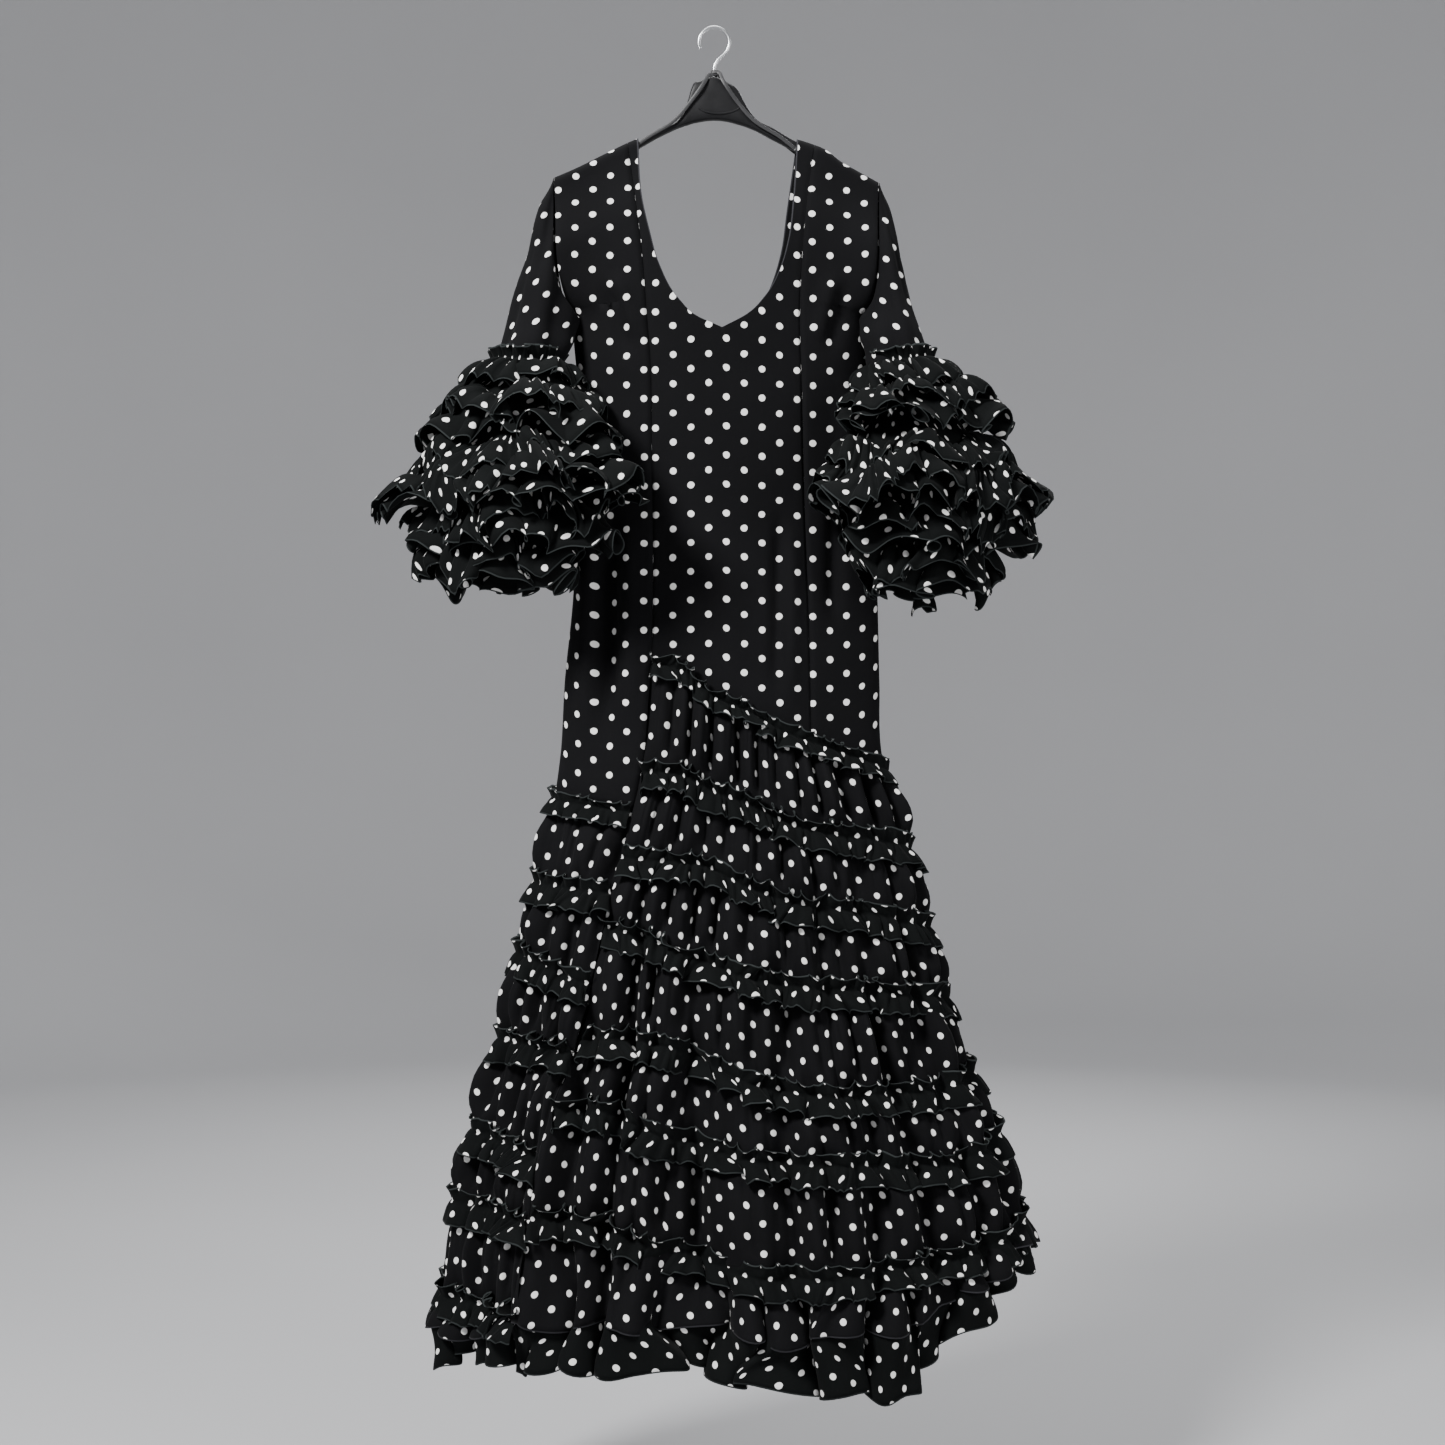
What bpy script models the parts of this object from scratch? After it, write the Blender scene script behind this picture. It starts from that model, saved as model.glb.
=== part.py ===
"""Flamenco dress with frilled sleeves and a tiered skirt, hanging on a plain plastic hanger.

X runs across the dress, the front faces -Y and Z is up. The origin is the inside top of the
hanger's hook, so a drop is a distance below it. Angles run round the body in degrees: 0 is the
centre front, 90 the side at +X, 180 the centre back and 270 the side at -X. Sizes are in metres.
"left" in a name is the -X side.
"""
import math

import bpy
import numpy as np

CLOTH = 0.0012
SEAM_GAP = 0.0003
EDGE_GAP = 0.0006

# Bodice and skirt, as cuts at one drop: half widths to each side and depths to front and back.
SECTION_COLUMNS = "drop left right front back"
SECTIONS = (
    (0.130, 0.178, 0.182, 0.026, 0.024),
    (0.200, 0.180, 0.184, 0.036, 0.032),
    (0.270, 0.175, 0.184, 0.045, 0.038),
    (0.340, 0.169, 0.181, 0.050, 0.042),
    (0.430, 0.161, 0.181, 0.050, 0.044),
    (0.550, 0.163, 0.187, 0.046, 0.042),
    (0.670, 0.166, 0.193, 0.052, 0.046),
    (0.770, 0.176, 0.196, 0.058, 0.052),
    (0.860, 0.182, 0.199, 0.064, 0.058),
    (0.950, 0.197, 0.226, 0.076, 0.068),
    (1.030, 0.217, 0.246, 0.090, 0.080),
    (1.120, 0.238, 0.268, 0.106, 0.092),
    (1.220, 0.258, 0.298, 0.122, 0.104),
    (1.300, 0.282, 0.330, 0.136, 0.114),
    (1.380, 0.304, 0.354, 0.149, 0.122),
    (1.450, 0.313, 0.372, 0.158, 0.128),
    (1.570, 0.326, 0.382, 0.168, 0.135),
)

# Armholes: the free edge's drop and distance from the middle, and its half depth at mid height.
ARMHOLE_COLUMNS = "drop left right"
ARMHOLE = (
    (0.000, 0.1876, 0.1935),
    (0.200, 0.1872, 0.1928),
    (0.500, 0.1860, 0.1915),
    (0.750, 0.1820, 0.1890),
    (0.920, 0.1745, 0.1845),
    (1.000, 0.1690, 0.1810),
)
SHOULDER_TIP = {-1: 0.176, 1: 0.182}
UNDERARM = {-1: 0.337, 1: 0.340}
ARMHOLE_DEPTH = {"front": 0.034, "back": 0.031}
ARMHOLE_STEPS = 12
SLEEVE_GAP = (0.0009, 0.0026)

# Shoulder line over the hanger, from side to side.
SHOULDER_COLUMNS = "x drop"
SHOULDER = (
    (-0.1876, 0.1760),
    (-0.1600, 0.1640),
    (-0.1300, 0.1490),
    (-0.0894, 0.1300),
    (0.0976, 0.1310),
    (0.1150, 0.1365),
    (0.1310, 0.1430),
    (0.1490, 0.1570),
    (0.1700, 0.1690),
    (0.1935, 0.1820),
)
SHOULDER_ROUND = 0.012
SHOULDER_BLEND = 0.10

# Seams and neck edges of the bodice: distance across at each drop.
FRONT_SEAM_LEFT = ((0.130, -0.1025), (0.209, -0.0915), (0.269, -0.0838), (0.341, -0.0780),
                   (0.400, -0.0735), (0.500, -0.0722), (0.677, -0.0705), (0.749, -0.0716))
FRONT_SEAM_RIGHT = ((0.130, 0.1195), (0.209, 0.1085), (0.282, 0.1023), (0.340, 0.1000),
                    (0.421, 0.1022), (0.575, 0.1058), (0.700, 0.1102), (0.850, 0.1135))
BACK_SEAM_LEFT = ((0.130, -0.1060), (0.250, -0.0980), (0.350, -0.0880), (0.550, -0.0720),
                  (0.670, -0.0750), (0.900, -0.0880))
BACK_SEAM_RIGHT = ((0.130, 0.1150), (0.250, 0.1050), (0.350, 0.0950), (0.550, 0.0800),
                   (0.670, 0.0830), (0.900, 0.0950))
FRONT_NECK_LEFT = ((0.130, -0.0894), (0.209, -0.0830), (0.246, -0.0746), (0.288, -0.0625),
                   (0.329, -0.0392), (0.350, -0.0160), (0.361, 0.0094))
FRONT_NECK_RIGHT = ((0.131, 0.0976), (0.209, 0.0922), (0.258, 0.0861), (0.294, 0.0755),
                    (0.324, 0.0592), (0.347, 0.0360), (0.361, 0.0094))
BACK_NECK_LEFT = ((0.130, -0.0894), (0.209, -0.0865), (0.260, -0.0775), (0.300, -0.0655),
                  (0.340, -0.0430), (0.362, -0.0210), (0.372, 0.0030))
BACK_NECK_RIGHT = ((0.131, 0.0976), (0.209, 0.0865), (0.260, 0.0790), (0.300, 0.0660),
                   (0.340, 0.0440), (0.362, 0.0240), (0.372, 0.0030))
FRONT_MIDDLE = 0.0094
BACK_MIDDLE = 0.0030

# Spiral seams of the skirt: each wraps once round, from the line at the front left and back to it
# one tier lower. seam_0 ends the bodice, seam_6 carries the last tier and hem is the free edge.
SEAM_COLUMNS = "angle seam_0 seam_1 seam_2 seam_3 seam_4 seam_5 seam_6 edge hem"
SEAMS = (
    (-35, 0.749, 0.876, 0.974, 1.052, 1.180, 1.255, 1.377, 1.491, 1.548),
    (-20, 0.760, 0.878, 0.978, 1.064, 1.178, 1.259, 1.380, 1.493, 1.540),
    (-5, 0.790, 0.897, 0.982, 1.086, 1.193, 1.290, 1.412, 1.495, 1.542),
    (10, 0.808, 0.915, 1.009, 1.110, 1.226, 1.309, 1.435, 1.501, 1.554),
    (25, 0.831, 0.937, 1.027, 1.121, 1.240, 1.315, 1.435, 1.503, 1.570),
    (40, 0.846, 0.948, 1.035, 1.125, 1.241, 1.323, 1.429, 1.487, 1.556),
    (55, 0.858, 0.954, 1.044, 1.131, 1.241, 1.324, 1.424, 1.462, 1.500),
    (70, 0.868, 0.959, 1.053, 1.136, 1.235, 1.312, 1.412, 1.440, 1.462),
    (90, 0.876, 0.969, 1.060, 1.144, 1.226, 1.295, 1.396, 1.426, 1.445),
    (135, 0.888, 0.983, 1.069, 1.158, 1.246, 1.317, 1.423, 1.462, 1.490),
    (180, 0.893, 0.988, 1.073, 1.167, 1.262, 1.335, 1.441, 1.488, 1.524),
    (225, 0.899, 0.995, 1.078, 1.179, 1.278, 1.356, 1.465, 1.512, 1.550),
    (270, 0.906, 1.004, 1.087, 1.189, 1.293, 1.376, 1.486, 1.530, 1.566),
    (300, 0.913, 1.009, 1.098, 1.191, 1.304, 1.381, 1.489, 1.525, 1.555),
    (325, 0.922, 1.015, 1.117, 1.194, 1.316, 1.385, 1.490, 1.518, 1.543),
)
START_ANGLE = -35.0
LINE_COLUMNS = "drop angle"
START_LINE = (
    (0.749, -24.3),
    (0.880, -27.2),
    (0.965, -31.5),
    (1.050, -35.0),
    (1.180, -38.2),
    (1.255, -41.6),
    (1.380, -41.6),
    (1.550, -42.8),
)
LINE_REACH = 70.0
TIERS = 8
TIER_COLUMNS = 48
TIER_STEPS = 2
TIER_WAVES = 9
TIER_WAVE = 0.007
TIER_FULLNESS = 0.005
HEM_WAVE = 0.010
LAST_HEIGHT = 0.100

# Hanging folds of the skirt: where each stands, how wide it is and how far it stands at the hem.
FOLD_COLUMNS = "angle width height"
FOLDS = (
    (-62, 7, -0.026),
    (-40, 7, 0.012),
    (-5, 7, -0.034),
    (16, 10, 0.014),
    (48, 9, -0.012),
    (84, 12, 0.006),
    (122, 10, -0.016),
    (150, 12, 0.012),
    (178, 9, -0.018),
    (205, 12, 0.012),
    (236, 9, -0.016),
    (262, 12, 0.006),
)
FOLD_TOP = 0.930
FOLD_FULL = 1.480

# Frills on the spiral seams: sewn along the middle, both edges free.
FRILL_UP = 0.017
FRILL_DOWN = 0.018
FRILL_STAND = (0.012, 0.016)
FRILL_WAVES = 12
FRILL_WAVE = 0.005

# Sleeves: level rings from the elbow down. Reach and depth are half axes, turn swings the outer
# end to the back so that the frills pass in front of the hip.
RING_COLUMNS = "drop middle forward reach depth turn"
SLEEVE_RINGS = {
    -1: (
        (0.405, 0.2185, 0.030, 0.0360, 0.048, 0),
        (0.456, 0.2240, 0.045, 0.0420, 0.043, 12),
        (0.503, 0.2290, 0.057, 0.0500, 0.041, 24),
        (0.556, 0.2340, 0.066, 0.0600, 0.040, 32),
    ),
    1: (
        (0.405, 0.2210, 0.030, 0.0310, 0.048, 0),
        (0.456, 0.2310, 0.046, 0.0380, 0.043, 12),
        (0.503, 0.2400, 0.058, 0.0460, 0.041, 24),
        (0.556, 0.2480, 0.066, 0.0540, 0.040, 32),
    ),
}
# Sleeve frills: the sleeve ring each is sewn to and its lower edge.
RUFFLE_COLUMNS = "ring drop middle forward reach depth turn wave"
SLEEVE_RUFFLES = {
    -1: (
        (0, 0.492, 0.2247, 0.064, 0.130, 0.074, 32, 0.006),
        (1, 0.572, 0.2350, 0.080, 0.170, 0.084, 32, 0.008),
        (2, 0.620, 0.2280, 0.074, 0.132, 0.074, 32, 0.007),
        (3, 0.664, 0.2370, 0.068, 0.080, 0.054, 32, 0.005),
    ),
    1: (
        (0, 0.480, 0.2520, 0.060, 0.103, 0.076, 32, 0.005),
        (1, 0.570, 0.2560, 0.078, 0.150, 0.084, 32, 0.008),
        (2, 0.620, 0.2600, 0.074, 0.114, 0.074, 32, 0.007),
        (3, 0.670, 0.2520, 0.068, 0.074, 0.054, 32, 0.005),
    ),
}
RING_POINTS = 2 * ARMHOLE_STEPS
RUFFLE_WAVES = 5

# Hanger: cuts across its arms, from one tip to the other, and the wire of its hook.
HANGER_COLUMNS = "x top bottom depth"
HANGER = (
    (-0.1680, 0.1712, 0.1790, 0.0036),
    (-0.1600, 0.1675, 0.1775, 0.0050),
    (-0.1300, 0.1525, 0.1635, 0.0052),
    (-0.0890, 0.1332, 0.1415, 0.0054),
    (-0.0600, 0.1160, 0.1255, 0.0056),
    (-0.0390, 0.1045, 0.1160, 0.0062),
    (-0.0310, 0.0860, 0.1135, 0.0070),
    (-0.0265, 0.0700, 0.1120, 0.0072),
    (-0.0150, 0.0620, 0.1095, 0.0078),
    (0.0000, 0.0575, 0.1080, 0.0080),
    (0.0160, 0.0640, 0.1095, 0.0078),
    (0.0290, 0.0740, 0.1130, 0.0072),
    (0.0360, 0.0880, 0.1150, 0.0070),
    (0.0450, 0.1020, 0.1185, 0.0060),
    (0.0700, 0.1180, 0.1315, 0.0056),
    (0.0970, 0.1338, 0.1455, 0.0054),
    (0.1310, 0.1465, 0.1580, 0.0052),
    (0.1500, 0.1610, 0.1710, 0.0050),
    (0.1700, 0.1725, 0.1810, 0.0036),
)
HANGER_SIDES = 10
WIRE_RADIUS = 0.0019
HOOK_RADIUS = 0.0180
HOOK_FOOT = 0.0571
TAPE_RADIUS = 0.0009

BLACK_CLOTH = (0.0085, 0.0085, 0.0095, 1.0)
BLACK_FRILL = (0.0080, 0.0095, 0.0098, 1.0)
BLACK_PLASTIC = (0.010, 0.010, 0.011, 1.0)
STEEL = (0.56, 0.57, 0.58, 1.0)


def columns(names, rows):
    """The rows of a table as one array for each named column."""
    return dict(zip(names.split(), np.array(rows, dtype=float).T))


def smooth(at, known, values):
    """A smooth curve through known values, level beyond both ends."""
    at = np.clip(np.asarray(at, dtype=float), known[0], known[-1])
    slopes = np.gradient(values, known)
    i = np.clip(np.searchsorted(known, at, side="right") - 1, 0, len(known) - 2)
    width = known[i + 1] - known[i]
    t = (at - known[i]) / width
    return (values[i] * (1 + 2 * t) * (1 - t) ** 2
            + slopes[i] * width * t * (1 - t) ** 2
            + values[i + 1] * t * t * (3 - 2 * t)
            - slopes[i + 1] * width * t * t * (1 - t))


def ease(t):
    t = np.clip(t, 0.0, 1.0)
    return t * t * (3.0 - 2.0 * t)


SECTION = columns(SECTION_COLUMNS, SECTIONS)
ARM = columns(ARMHOLE_COLUMNS, ARMHOLE)
SHOULDER_LINE = columns(SHOULDER_COLUMNS, SHOULDER)
SEAM = columns(SEAM_COLUMNS, SEAMS)
LINE = columns(LINE_COLUMNS, START_LINE)
FOLD = columns(FOLD_COLUMNS, FOLDS)


def section(drop, name):
    return smooth(drop, SECTION["drop"], SECTION[name])


def curve_x(drop, rows):
    known, values = np.array(rows, dtype=float).T
    return smooth(drop, known, values)


def shoulder_drop(x):
    return np.interp(x, SHOULDER_LINE["x"], SHOULDER_LINE["drop"])


def armhole_part(drop, side):
    """How far down the armhole a drop is, 0 at the shoulder tip and 1 at the underarm."""
    return (drop - SHOULDER_TIP[side]) / (UNDERARM[side] - SHOULDER_TIP[side])


def side_x(drop, side):
    """The cloth's outer edge: the armhole down to the underarm, then the side seam."""
    name = "left" if side < 0 else "right"
    part = armhole_part(drop, side)
    return np.where(part < 1.0, smooth(part, ARM["drop"], ARM[name]), section(drop, name))


def armhole_depth(drop, side, face):
    """Depth of the armhole's free edge, none at the shoulder tip and from the underarm down."""
    part = np.clip(armhole_part(drop, side), 0.0, 1.0)
    return ARMHOLE_DEPTH[face] * np.sqrt(np.clip(1.0 - (2.0 * part - 1.0) ** 2, 0.0, 1.0))


def fold_out(angle, drop):
    """How far the hanging folds stand out of the skirt's own form."""
    grow = ease((drop - FOLD_TOP) / (FOLD_FULL - FOLD_TOP))
    out = np.zeros(np.broadcast(angle, drop).shape)
    for middle, width, height in zip(FOLD["angle"], FOLD["width"], FOLD["height"]):
        away = (np.asarray(angle) - middle + 180.0) % 360.0 - 180.0
        out = out + height * np.exp(-0.5 * (away / width) ** 2)
    return grow * out


def cloth_y(x, drop, face):
    """Depth of the bodice's front or back sheet, rounding over the hanger at the shoulder."""
    left = x < 0.0
    width = np.where(left, side_x(drop, -1), side_x(drop, 1))
    open_edge = np.where(left, armhole_depth(drop, -1, face), armhole_depth(drop, 1, face))
    sine = np.clip(np.abs(x) / width, 0.0, 1.0)
    hollow = section(drop, face) * np.sqrt(1.0 - sine ** 2) + open_edge * sine ** 6
    below = np.clip(drop - shoulder_drop(x), 0.0, None)
    bend = np.clip(below / SHOULDER_ROUND, 0.0, 1.0)
    top = EDGE_GAP / 2 + SHOULDER_ROUND * np.sqrt(1.0 - (1.0 - bend) ** 2)
    part = ease(below / SHOULDER_BLEND)
    depth = part * (hollow + EDGE_GAP / 2) + (1.0 - part) * top
    return -depth if face == "front" else depth


def cloth_points(x, drop, face):
    return np.stack([x, cloth_y(x, drop, face), -drop], axis=-1)


def skirt_points(angle, drop, out):
    """Points of the skirt's form, moved out along the level normal of its section."""
    a = np.radians(angle)
    wide = np.where(np.sin(a) < 0.0, section(drop, "left"), section(drop, "right"))
    deep = np.where(np.cos(a) > 0.0, section(drop, "front"), section(drop, "back"))
    normal = np.stack([np.sin(a) / wide, -np.cos(a) / deep], axis=-1)
    normal = normal / np.linalg.norm(normal, axis=-1, keepdims=True)
    away = (out + fold_out(angle, drop))[..., None]
    level = np.stack([wide * np.sin(a), -deep * np.cos(a)], axis=-1) + normal * away
    return np.concatenate([level, -drop[..., None]], axis=-1)


def seam_drop(name, angle):
    return smooth(angle, SEAM["angle"], SEAM[name])


def true_angle(angle, drop):
    """Swings the ends of a wrap onto the line at the front left where it starts and ends."""
    near = np.clip(1.0 - np.abs((angle - START_ANGLE + 180.0) % 360.0 - 180.0) / LINE_REACH, 0, 1)
    return angle + ease(near) * (smooth(drop, LINE["drop"], LINE["angle"]) - START_ANGLE)


def line_x(drop):
    """The front left seam: the bodice's own down to the first wrap, then the start line."""
    bodice = curve_x(drop, FRONT_SEAM_LEFT)
    below = section(drop, "left") * np.sin(np.radians(smooth(drop, LINE["drop"], LINE["angle"])))
    return np.where(drop < LINE["drop"][0], bodice, below)


def material(name, colour, roughness, metallic=0.0):
    made = bpy.data.materials.new(name)
    made.use_nodes = True
    shader = made.node_tree.nodes["Principled BSDF"]
    shader.inputs["Base Color"].default_value = colour
    shader.inputs["Roughness"].default_value = roughness
    shader.inputs["Metallic"].default_value = metallic
    return made


def link(name, data, colour, roughness, metallic=0.0):
    piece = bpy.data.objects.new(name, data)
    data.materials.append(material(name, colour, roughness, metallic))
    collection.objects.link(piece)
    return piece


def cloth_piece(name, points, closed, colour):
    """A sheet through rows of points, given its thickness. A closed one joins its row ends."""
    rows, count = points.shape[:2]
    index = np.arange(rows * count).reshape(rows, count)
    sheet_piece(name, points.reshape(-1, 3), quads(index, closed), colour)


def quads(index, closed):
    rows, count = index.shape
    faces = []
    for r in range(rows - 1):
        for c in range(count if closed else count - 1):
            d = (c + 1) % count
            faces.append((index[r, c], index[r + 1, c], index[r + 1, d], index[r, d]))
    return [tuple(int(i) for i in face) for face in faces]


def sheet_piece(name, points, faces, colour):
    mesh = bpy.data.meshes.new(name)
    mesh.from_pydata([tuple(map(float, p)) for p in points], [], faces)
    mesh.shade_smooth()
    piece = link(name, mesh, colour, 0.9)
    wall = piece.modifiers.new("Cloth", "SOLIDIFY")
    wall.thickness = CLOTH
    wall.offset = 0.0
    wall.use_rim = True


def armhole_levels(side):
    turn = np.linspace(0.0, math.pi, ARMHOLE_STEPS + 1)
    part = 0.5 * (1.0 - np.cos(turn))
    return SHOULDER_TIP[side] + part * (UNDERARM[side] - SHOULDER_TIP[side])


def spread(levels, top, bottom):
    """The armhole's levels carried over to another edge with its own top and bottom."""
    part = (levels - levels[0]) / (levels[-1] - levels[0])
    return top + part * (bottom - top)


def bodice_sheet(face, edges, drops, count, side, wrap):
    """Points of one bodice panel between two edges, each a curve and its levels row by row.

    Columns are spaced by angle, so they close up towards the side seam. The last row follows
    the first spiral seam, and wrap is the turn added to its angles at the front left.
    """
    rows = len(drops[0])
    u = np.linspace(0.0, 1.0, count + 1)
    ends = [edges[0](drops[0]), edges[1](drops[1])]
    middle = 0.5 * (drops[0] + drops[1])
    width = side_x(middle, side)
    angles = [np.arcsin(np.clip(np.abs(end) / width, 0.0, 1.0)) for end in ends]
    x = np.zeros((rows, count + 1))
    for r in range(rows):
        spacing = np.sin(angles[0][r] + u * (angles[1][r] - angles[0][r]))
        part = (spacing - spacing[0]) / (spacing[-1] - spacing[0])
        x[r] = ends[0][r] + part * (ends[1][r] - ends[0][r])
    lerp = drops[0][:, None] * (1 - u) + drops[1][:, None] * u
    down = np.linspace(0.0, 1.0, rows)[:, None]
    top = shoulder_drop(x[0]) - (shoulder_drop(x[0, 0]) * (1 - u) + shoulder_drop(x[0, -1]) * u)
    foot = bottom_drop(x[-1], face, side, wrap)
    foot = foot - (foot[0] * (1 - u) + foot[-1] * u)
    drop = lerp + (1 - down) ** 3 * top + down ** 3 * foot
    return x, drop


def bottom_drop(x, face, side, wrap):
    """Lower edge of the bodice, just above the first spiral seam."""
    name = "left" if side < 0 else "right"
    drop = np.full(x.shape, 0.83)
    swing = np.zeros(x.shape)
    for _ in range(12):
        angle = np.degrees(np.arcsin(np.clip(x / section(drop, name), -1.0, 1.0)))
        true = (angle if face == "front" else 180.0 - angle) + wrap
        swing = true_angle(true - swing, drop) - (true - swing)
        drop = seam_drop("seam_0", true - swing)
    return drop - EDGE_GAP


def build_bodice():
    """Seven panels: a centre front, two centre backs and a side panel at each corner."""
    left = armhole_levels(-1)
    right = armhole_levels(1)
    lower = np.linspace(0.0, 1.0, 5)[1:]

    side_left = np.append(left, left[-1] + lower * (0.770 - left[-1]))
    side_right = np.append(right, right[-1] + lower * (seam_drop("seam_0", 90.0) - EDGE_GAP - right[-1]))
    line_top = spread(left, float(shoulder_drop(-0.1025)), 0.325)
    line = np.append(line_top, 0.325 + lower * (0.749 - 0.325))
    seam_top = spread(right, float(shoulder_drop(0.1195)), 0.325)
    seam_end = float(bottom_drop(np.array([0.1133]), "front", 1, 0.0)[0])
    seam = np.append(seam_top, 0.325 + lower * (seam_end - 0.325))

    line_more = np.append(line, [0.8125, 0.876, 0.9195 - EDGE_GAP])
    side_end = float(seam_drop("seam_0", 270.0)) - EDGE_GAP
    side_more = np.append(side_left, [0.820, 0.865, side_end])

    half = SEAM_GAP / 2
    wide = EDGE_GAP / 2
    x, drop = bodice_sheet(
        "front", (lambda d: -side_x(d, -1), lambda d: line_x(d) - wide),
        (side_more, line_more), 6, -1, 360.0)
    cloth_piece("front_side_left", cloth_points(x, drop, "front"), False, BLACK_CLOTH)
    x, drop = bodice_sheet(
        "front", (lambda d: curve_x(d, FRONT_SEAM_RIGHT) + half, lambda d: side_x(d, 1)),
        (seam, side_right), 6, 1, 0.0)
    cloth_piece("front_side_right", cloth_points(x, drop, "front"), False, BLACK_CLOTH)

    build_front_centre(left, right, line, seam)
    build_backs(left, right, side_more, side_right)


def split_half(face, outer, outer_drops, neck, neck_drops, middle, middle_drops, count, side, wrap):
    """Half a neck panel: its inner edge is the neck down to the middle, then the middle line."""
    turns = len(neck_drops)
    inner_drops = np.append(neck_drops, middle_drops)

    def inner(d):
        return np.where(np.arange(len(d)) < turns - 1, curve_x(d, neck), middle)

    x, drop = bodice_sheet(face, (outer, inner), (outer_drops, inner_drops), count, side, wrap)
    return x, drop


def build_front_centre(left, right, line, seam):
    half = SEAM_GAP / 2
    neck = float(FRONT_NECK_LEFT[-1][0])
    levels = np.linspace(0.0, 1.0, 5)[1:]
    foot = float(bottom_drop(np.array([FRONT_MIDDLE]), "front", 1, 0.0)[0])
    middle = neck + levels * (foot - neck)
    x_l, d_l = split_half(
        "front", lambda d: line_x(d) + half, line,
        FRONT_NECK_LEFT, spread(left, FRONT_NECK_LEFT[0][0], neck),
        FRONT_MIDDLE, middle, 4, -1, 0.0)
    x_r, d_r = split_half(
        "front", lambda d: curve_x(d, FRONT_SEAM_RIGHT) - half, seam,
        FRONT_NECK_RIGHT, spread(right, FRONT_NECK_RIGHT[0][0], neck),
        FRONT_MIDDLE, middle, 4, 1, 0.0)
    points = [cloth_points(x_l, d_l, "front"), cloth_points(x_r, d_r, "front")]
    rows, count = x_l.shape
    left_index = np.arange(rows * count).reshape(rows, count)
    right_index = left_index + rows * count
    right_index[ARMHOLE_STEPS:, -1] = left_index[ARMHOLE_STEPS:, -1]
    faces = quads(left_index, False)
    faces += [tuple(reversed(face)) for face in quads(right_index, False)]
    flat = np.concatenate([p.reshape(-1, 3) for p in points])
    used = sorted({i for face in faces for i in face})
    place = {old: new for new, old in enumerate(used)}
    faces = [tuple(place[i] for i in face) for face in faces]
    sheet_piece("front_centre", flat[used], faces, BLACK_CLOTH)


def build_backs(left, right, side_more, side_right):
    half = SEAM_GAP / 2
    neck = float(BACK_NECK_LEFT[-1][0])
    for side, arm, outer_side in ((-1, left, side_more), (1, right, side_right)):
        name = "left" if side < 0 else "right"
        rows = BACK_SEAM_LEFT if side < 0 else BACK_SEAM_RIGHT
        edge = BACK_NECK_LEFT if side < 0 else BACK_NECK_RIGHT
        lower = np.linspace(0.0, 1.0, len(outer_side) - ARMHOLE_STEPS)[1:]
        top = spread(arm, float(shoulder_drop(rows[0][1])), 0.330)
        foot = float(bottom_drop(np.array([rows[-1][1]]), "back", side, 0.0)[0])
        seam = np.append(top, 0.330 + lower * (foot - 0.330))
        x, drop = bodice_sheet(
            "back", (lambda d, s=side: s * side_x(d, s),
                     lambda d, s=side, r=rows: curve_x(d, r) + s * half),
            (outer_side, seam), 6, side, 0.0)
        cloth_piece("back_side_" + name, cloth_points(x, drop, "back"), False, BLACK_CLOTH)
        low = float(bottom_drop(np.array([BACK_MIDDLE]), "back", side, 0.0)[0])
        middle = neck + lower * (low - neck)
        x, drop = split_half(
            "back", lambda d, s=side, r=rows: curve_x(d, r) - s * half, seam,
            edge, spread(arm, edge[0][0], neck), BACK_MIDDLE + side * half, middle, 4, side, 0.0)
        cloth_piece("back_centre_" + name, cloth_points(x, drop, "back"), False, BLACK_CLOTH)


def wrap_angles():
    return START_ANGLE + np.linspace(0.0, 360.0, TIER_COLUMNS + 1)


def trimmed(angle, drop, gap):
    """Angles of a wrap's points, with its two ends kept a little way off the start line."""
    true = true_angle(angle, drop)
    true[..., 0] += gap
    true[..., -1] -= gap
    return true


def tier_wave(angle, tier):
    turn = np.radians(angle - START_ANGLE)
    return np.cos(TIER_WAVES * turn + 1.9 * tier + 0.9 * np.sin(2 * turn + tier))


def tier_out(angle, part, tier):
    """Stand of a gathered tier: none at its seams, fullest halfway down."""
    full = np.sin(math.pi * part)
    return full * (TIER_FULLNESS + TIER_WAVE * tier_wave(angle, tier))


def build_tiers():
    names = SEAM_COLUMNS.split()[1:]
    angle = wrap_angles()
    part = np.linspace(0.0, 1.0, TIER_STEPS + 1)[:, None]
    for tier in range(1, TIERS - 1):
        top = seam_drop(names[tier - 1], angle) + EDGE_GAP
        foot = seam_drop(names[tier], angle) - EDGE_GAP
        drop = top + part * (foot - top)
        true = trimmed(angle + 0.0 * drop, drop, 0.09)
        points = skirt_points(true, drop, tier_out(angle, part, tier))
        cloth_piece(f"skirt_tier_{tier}", points, False, BLACK_CLOTH)
    build_hem(angle, part)


def last_out(angle, below):
    """Stand of the last full tier at a distance below its seam. Its lower edge is free."""
    return np.clip(below / LAST_HEIGHT, 0.0, 1.0) * (0.012 + HEM_WAVE * tier_wave(angle, 7))


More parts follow.
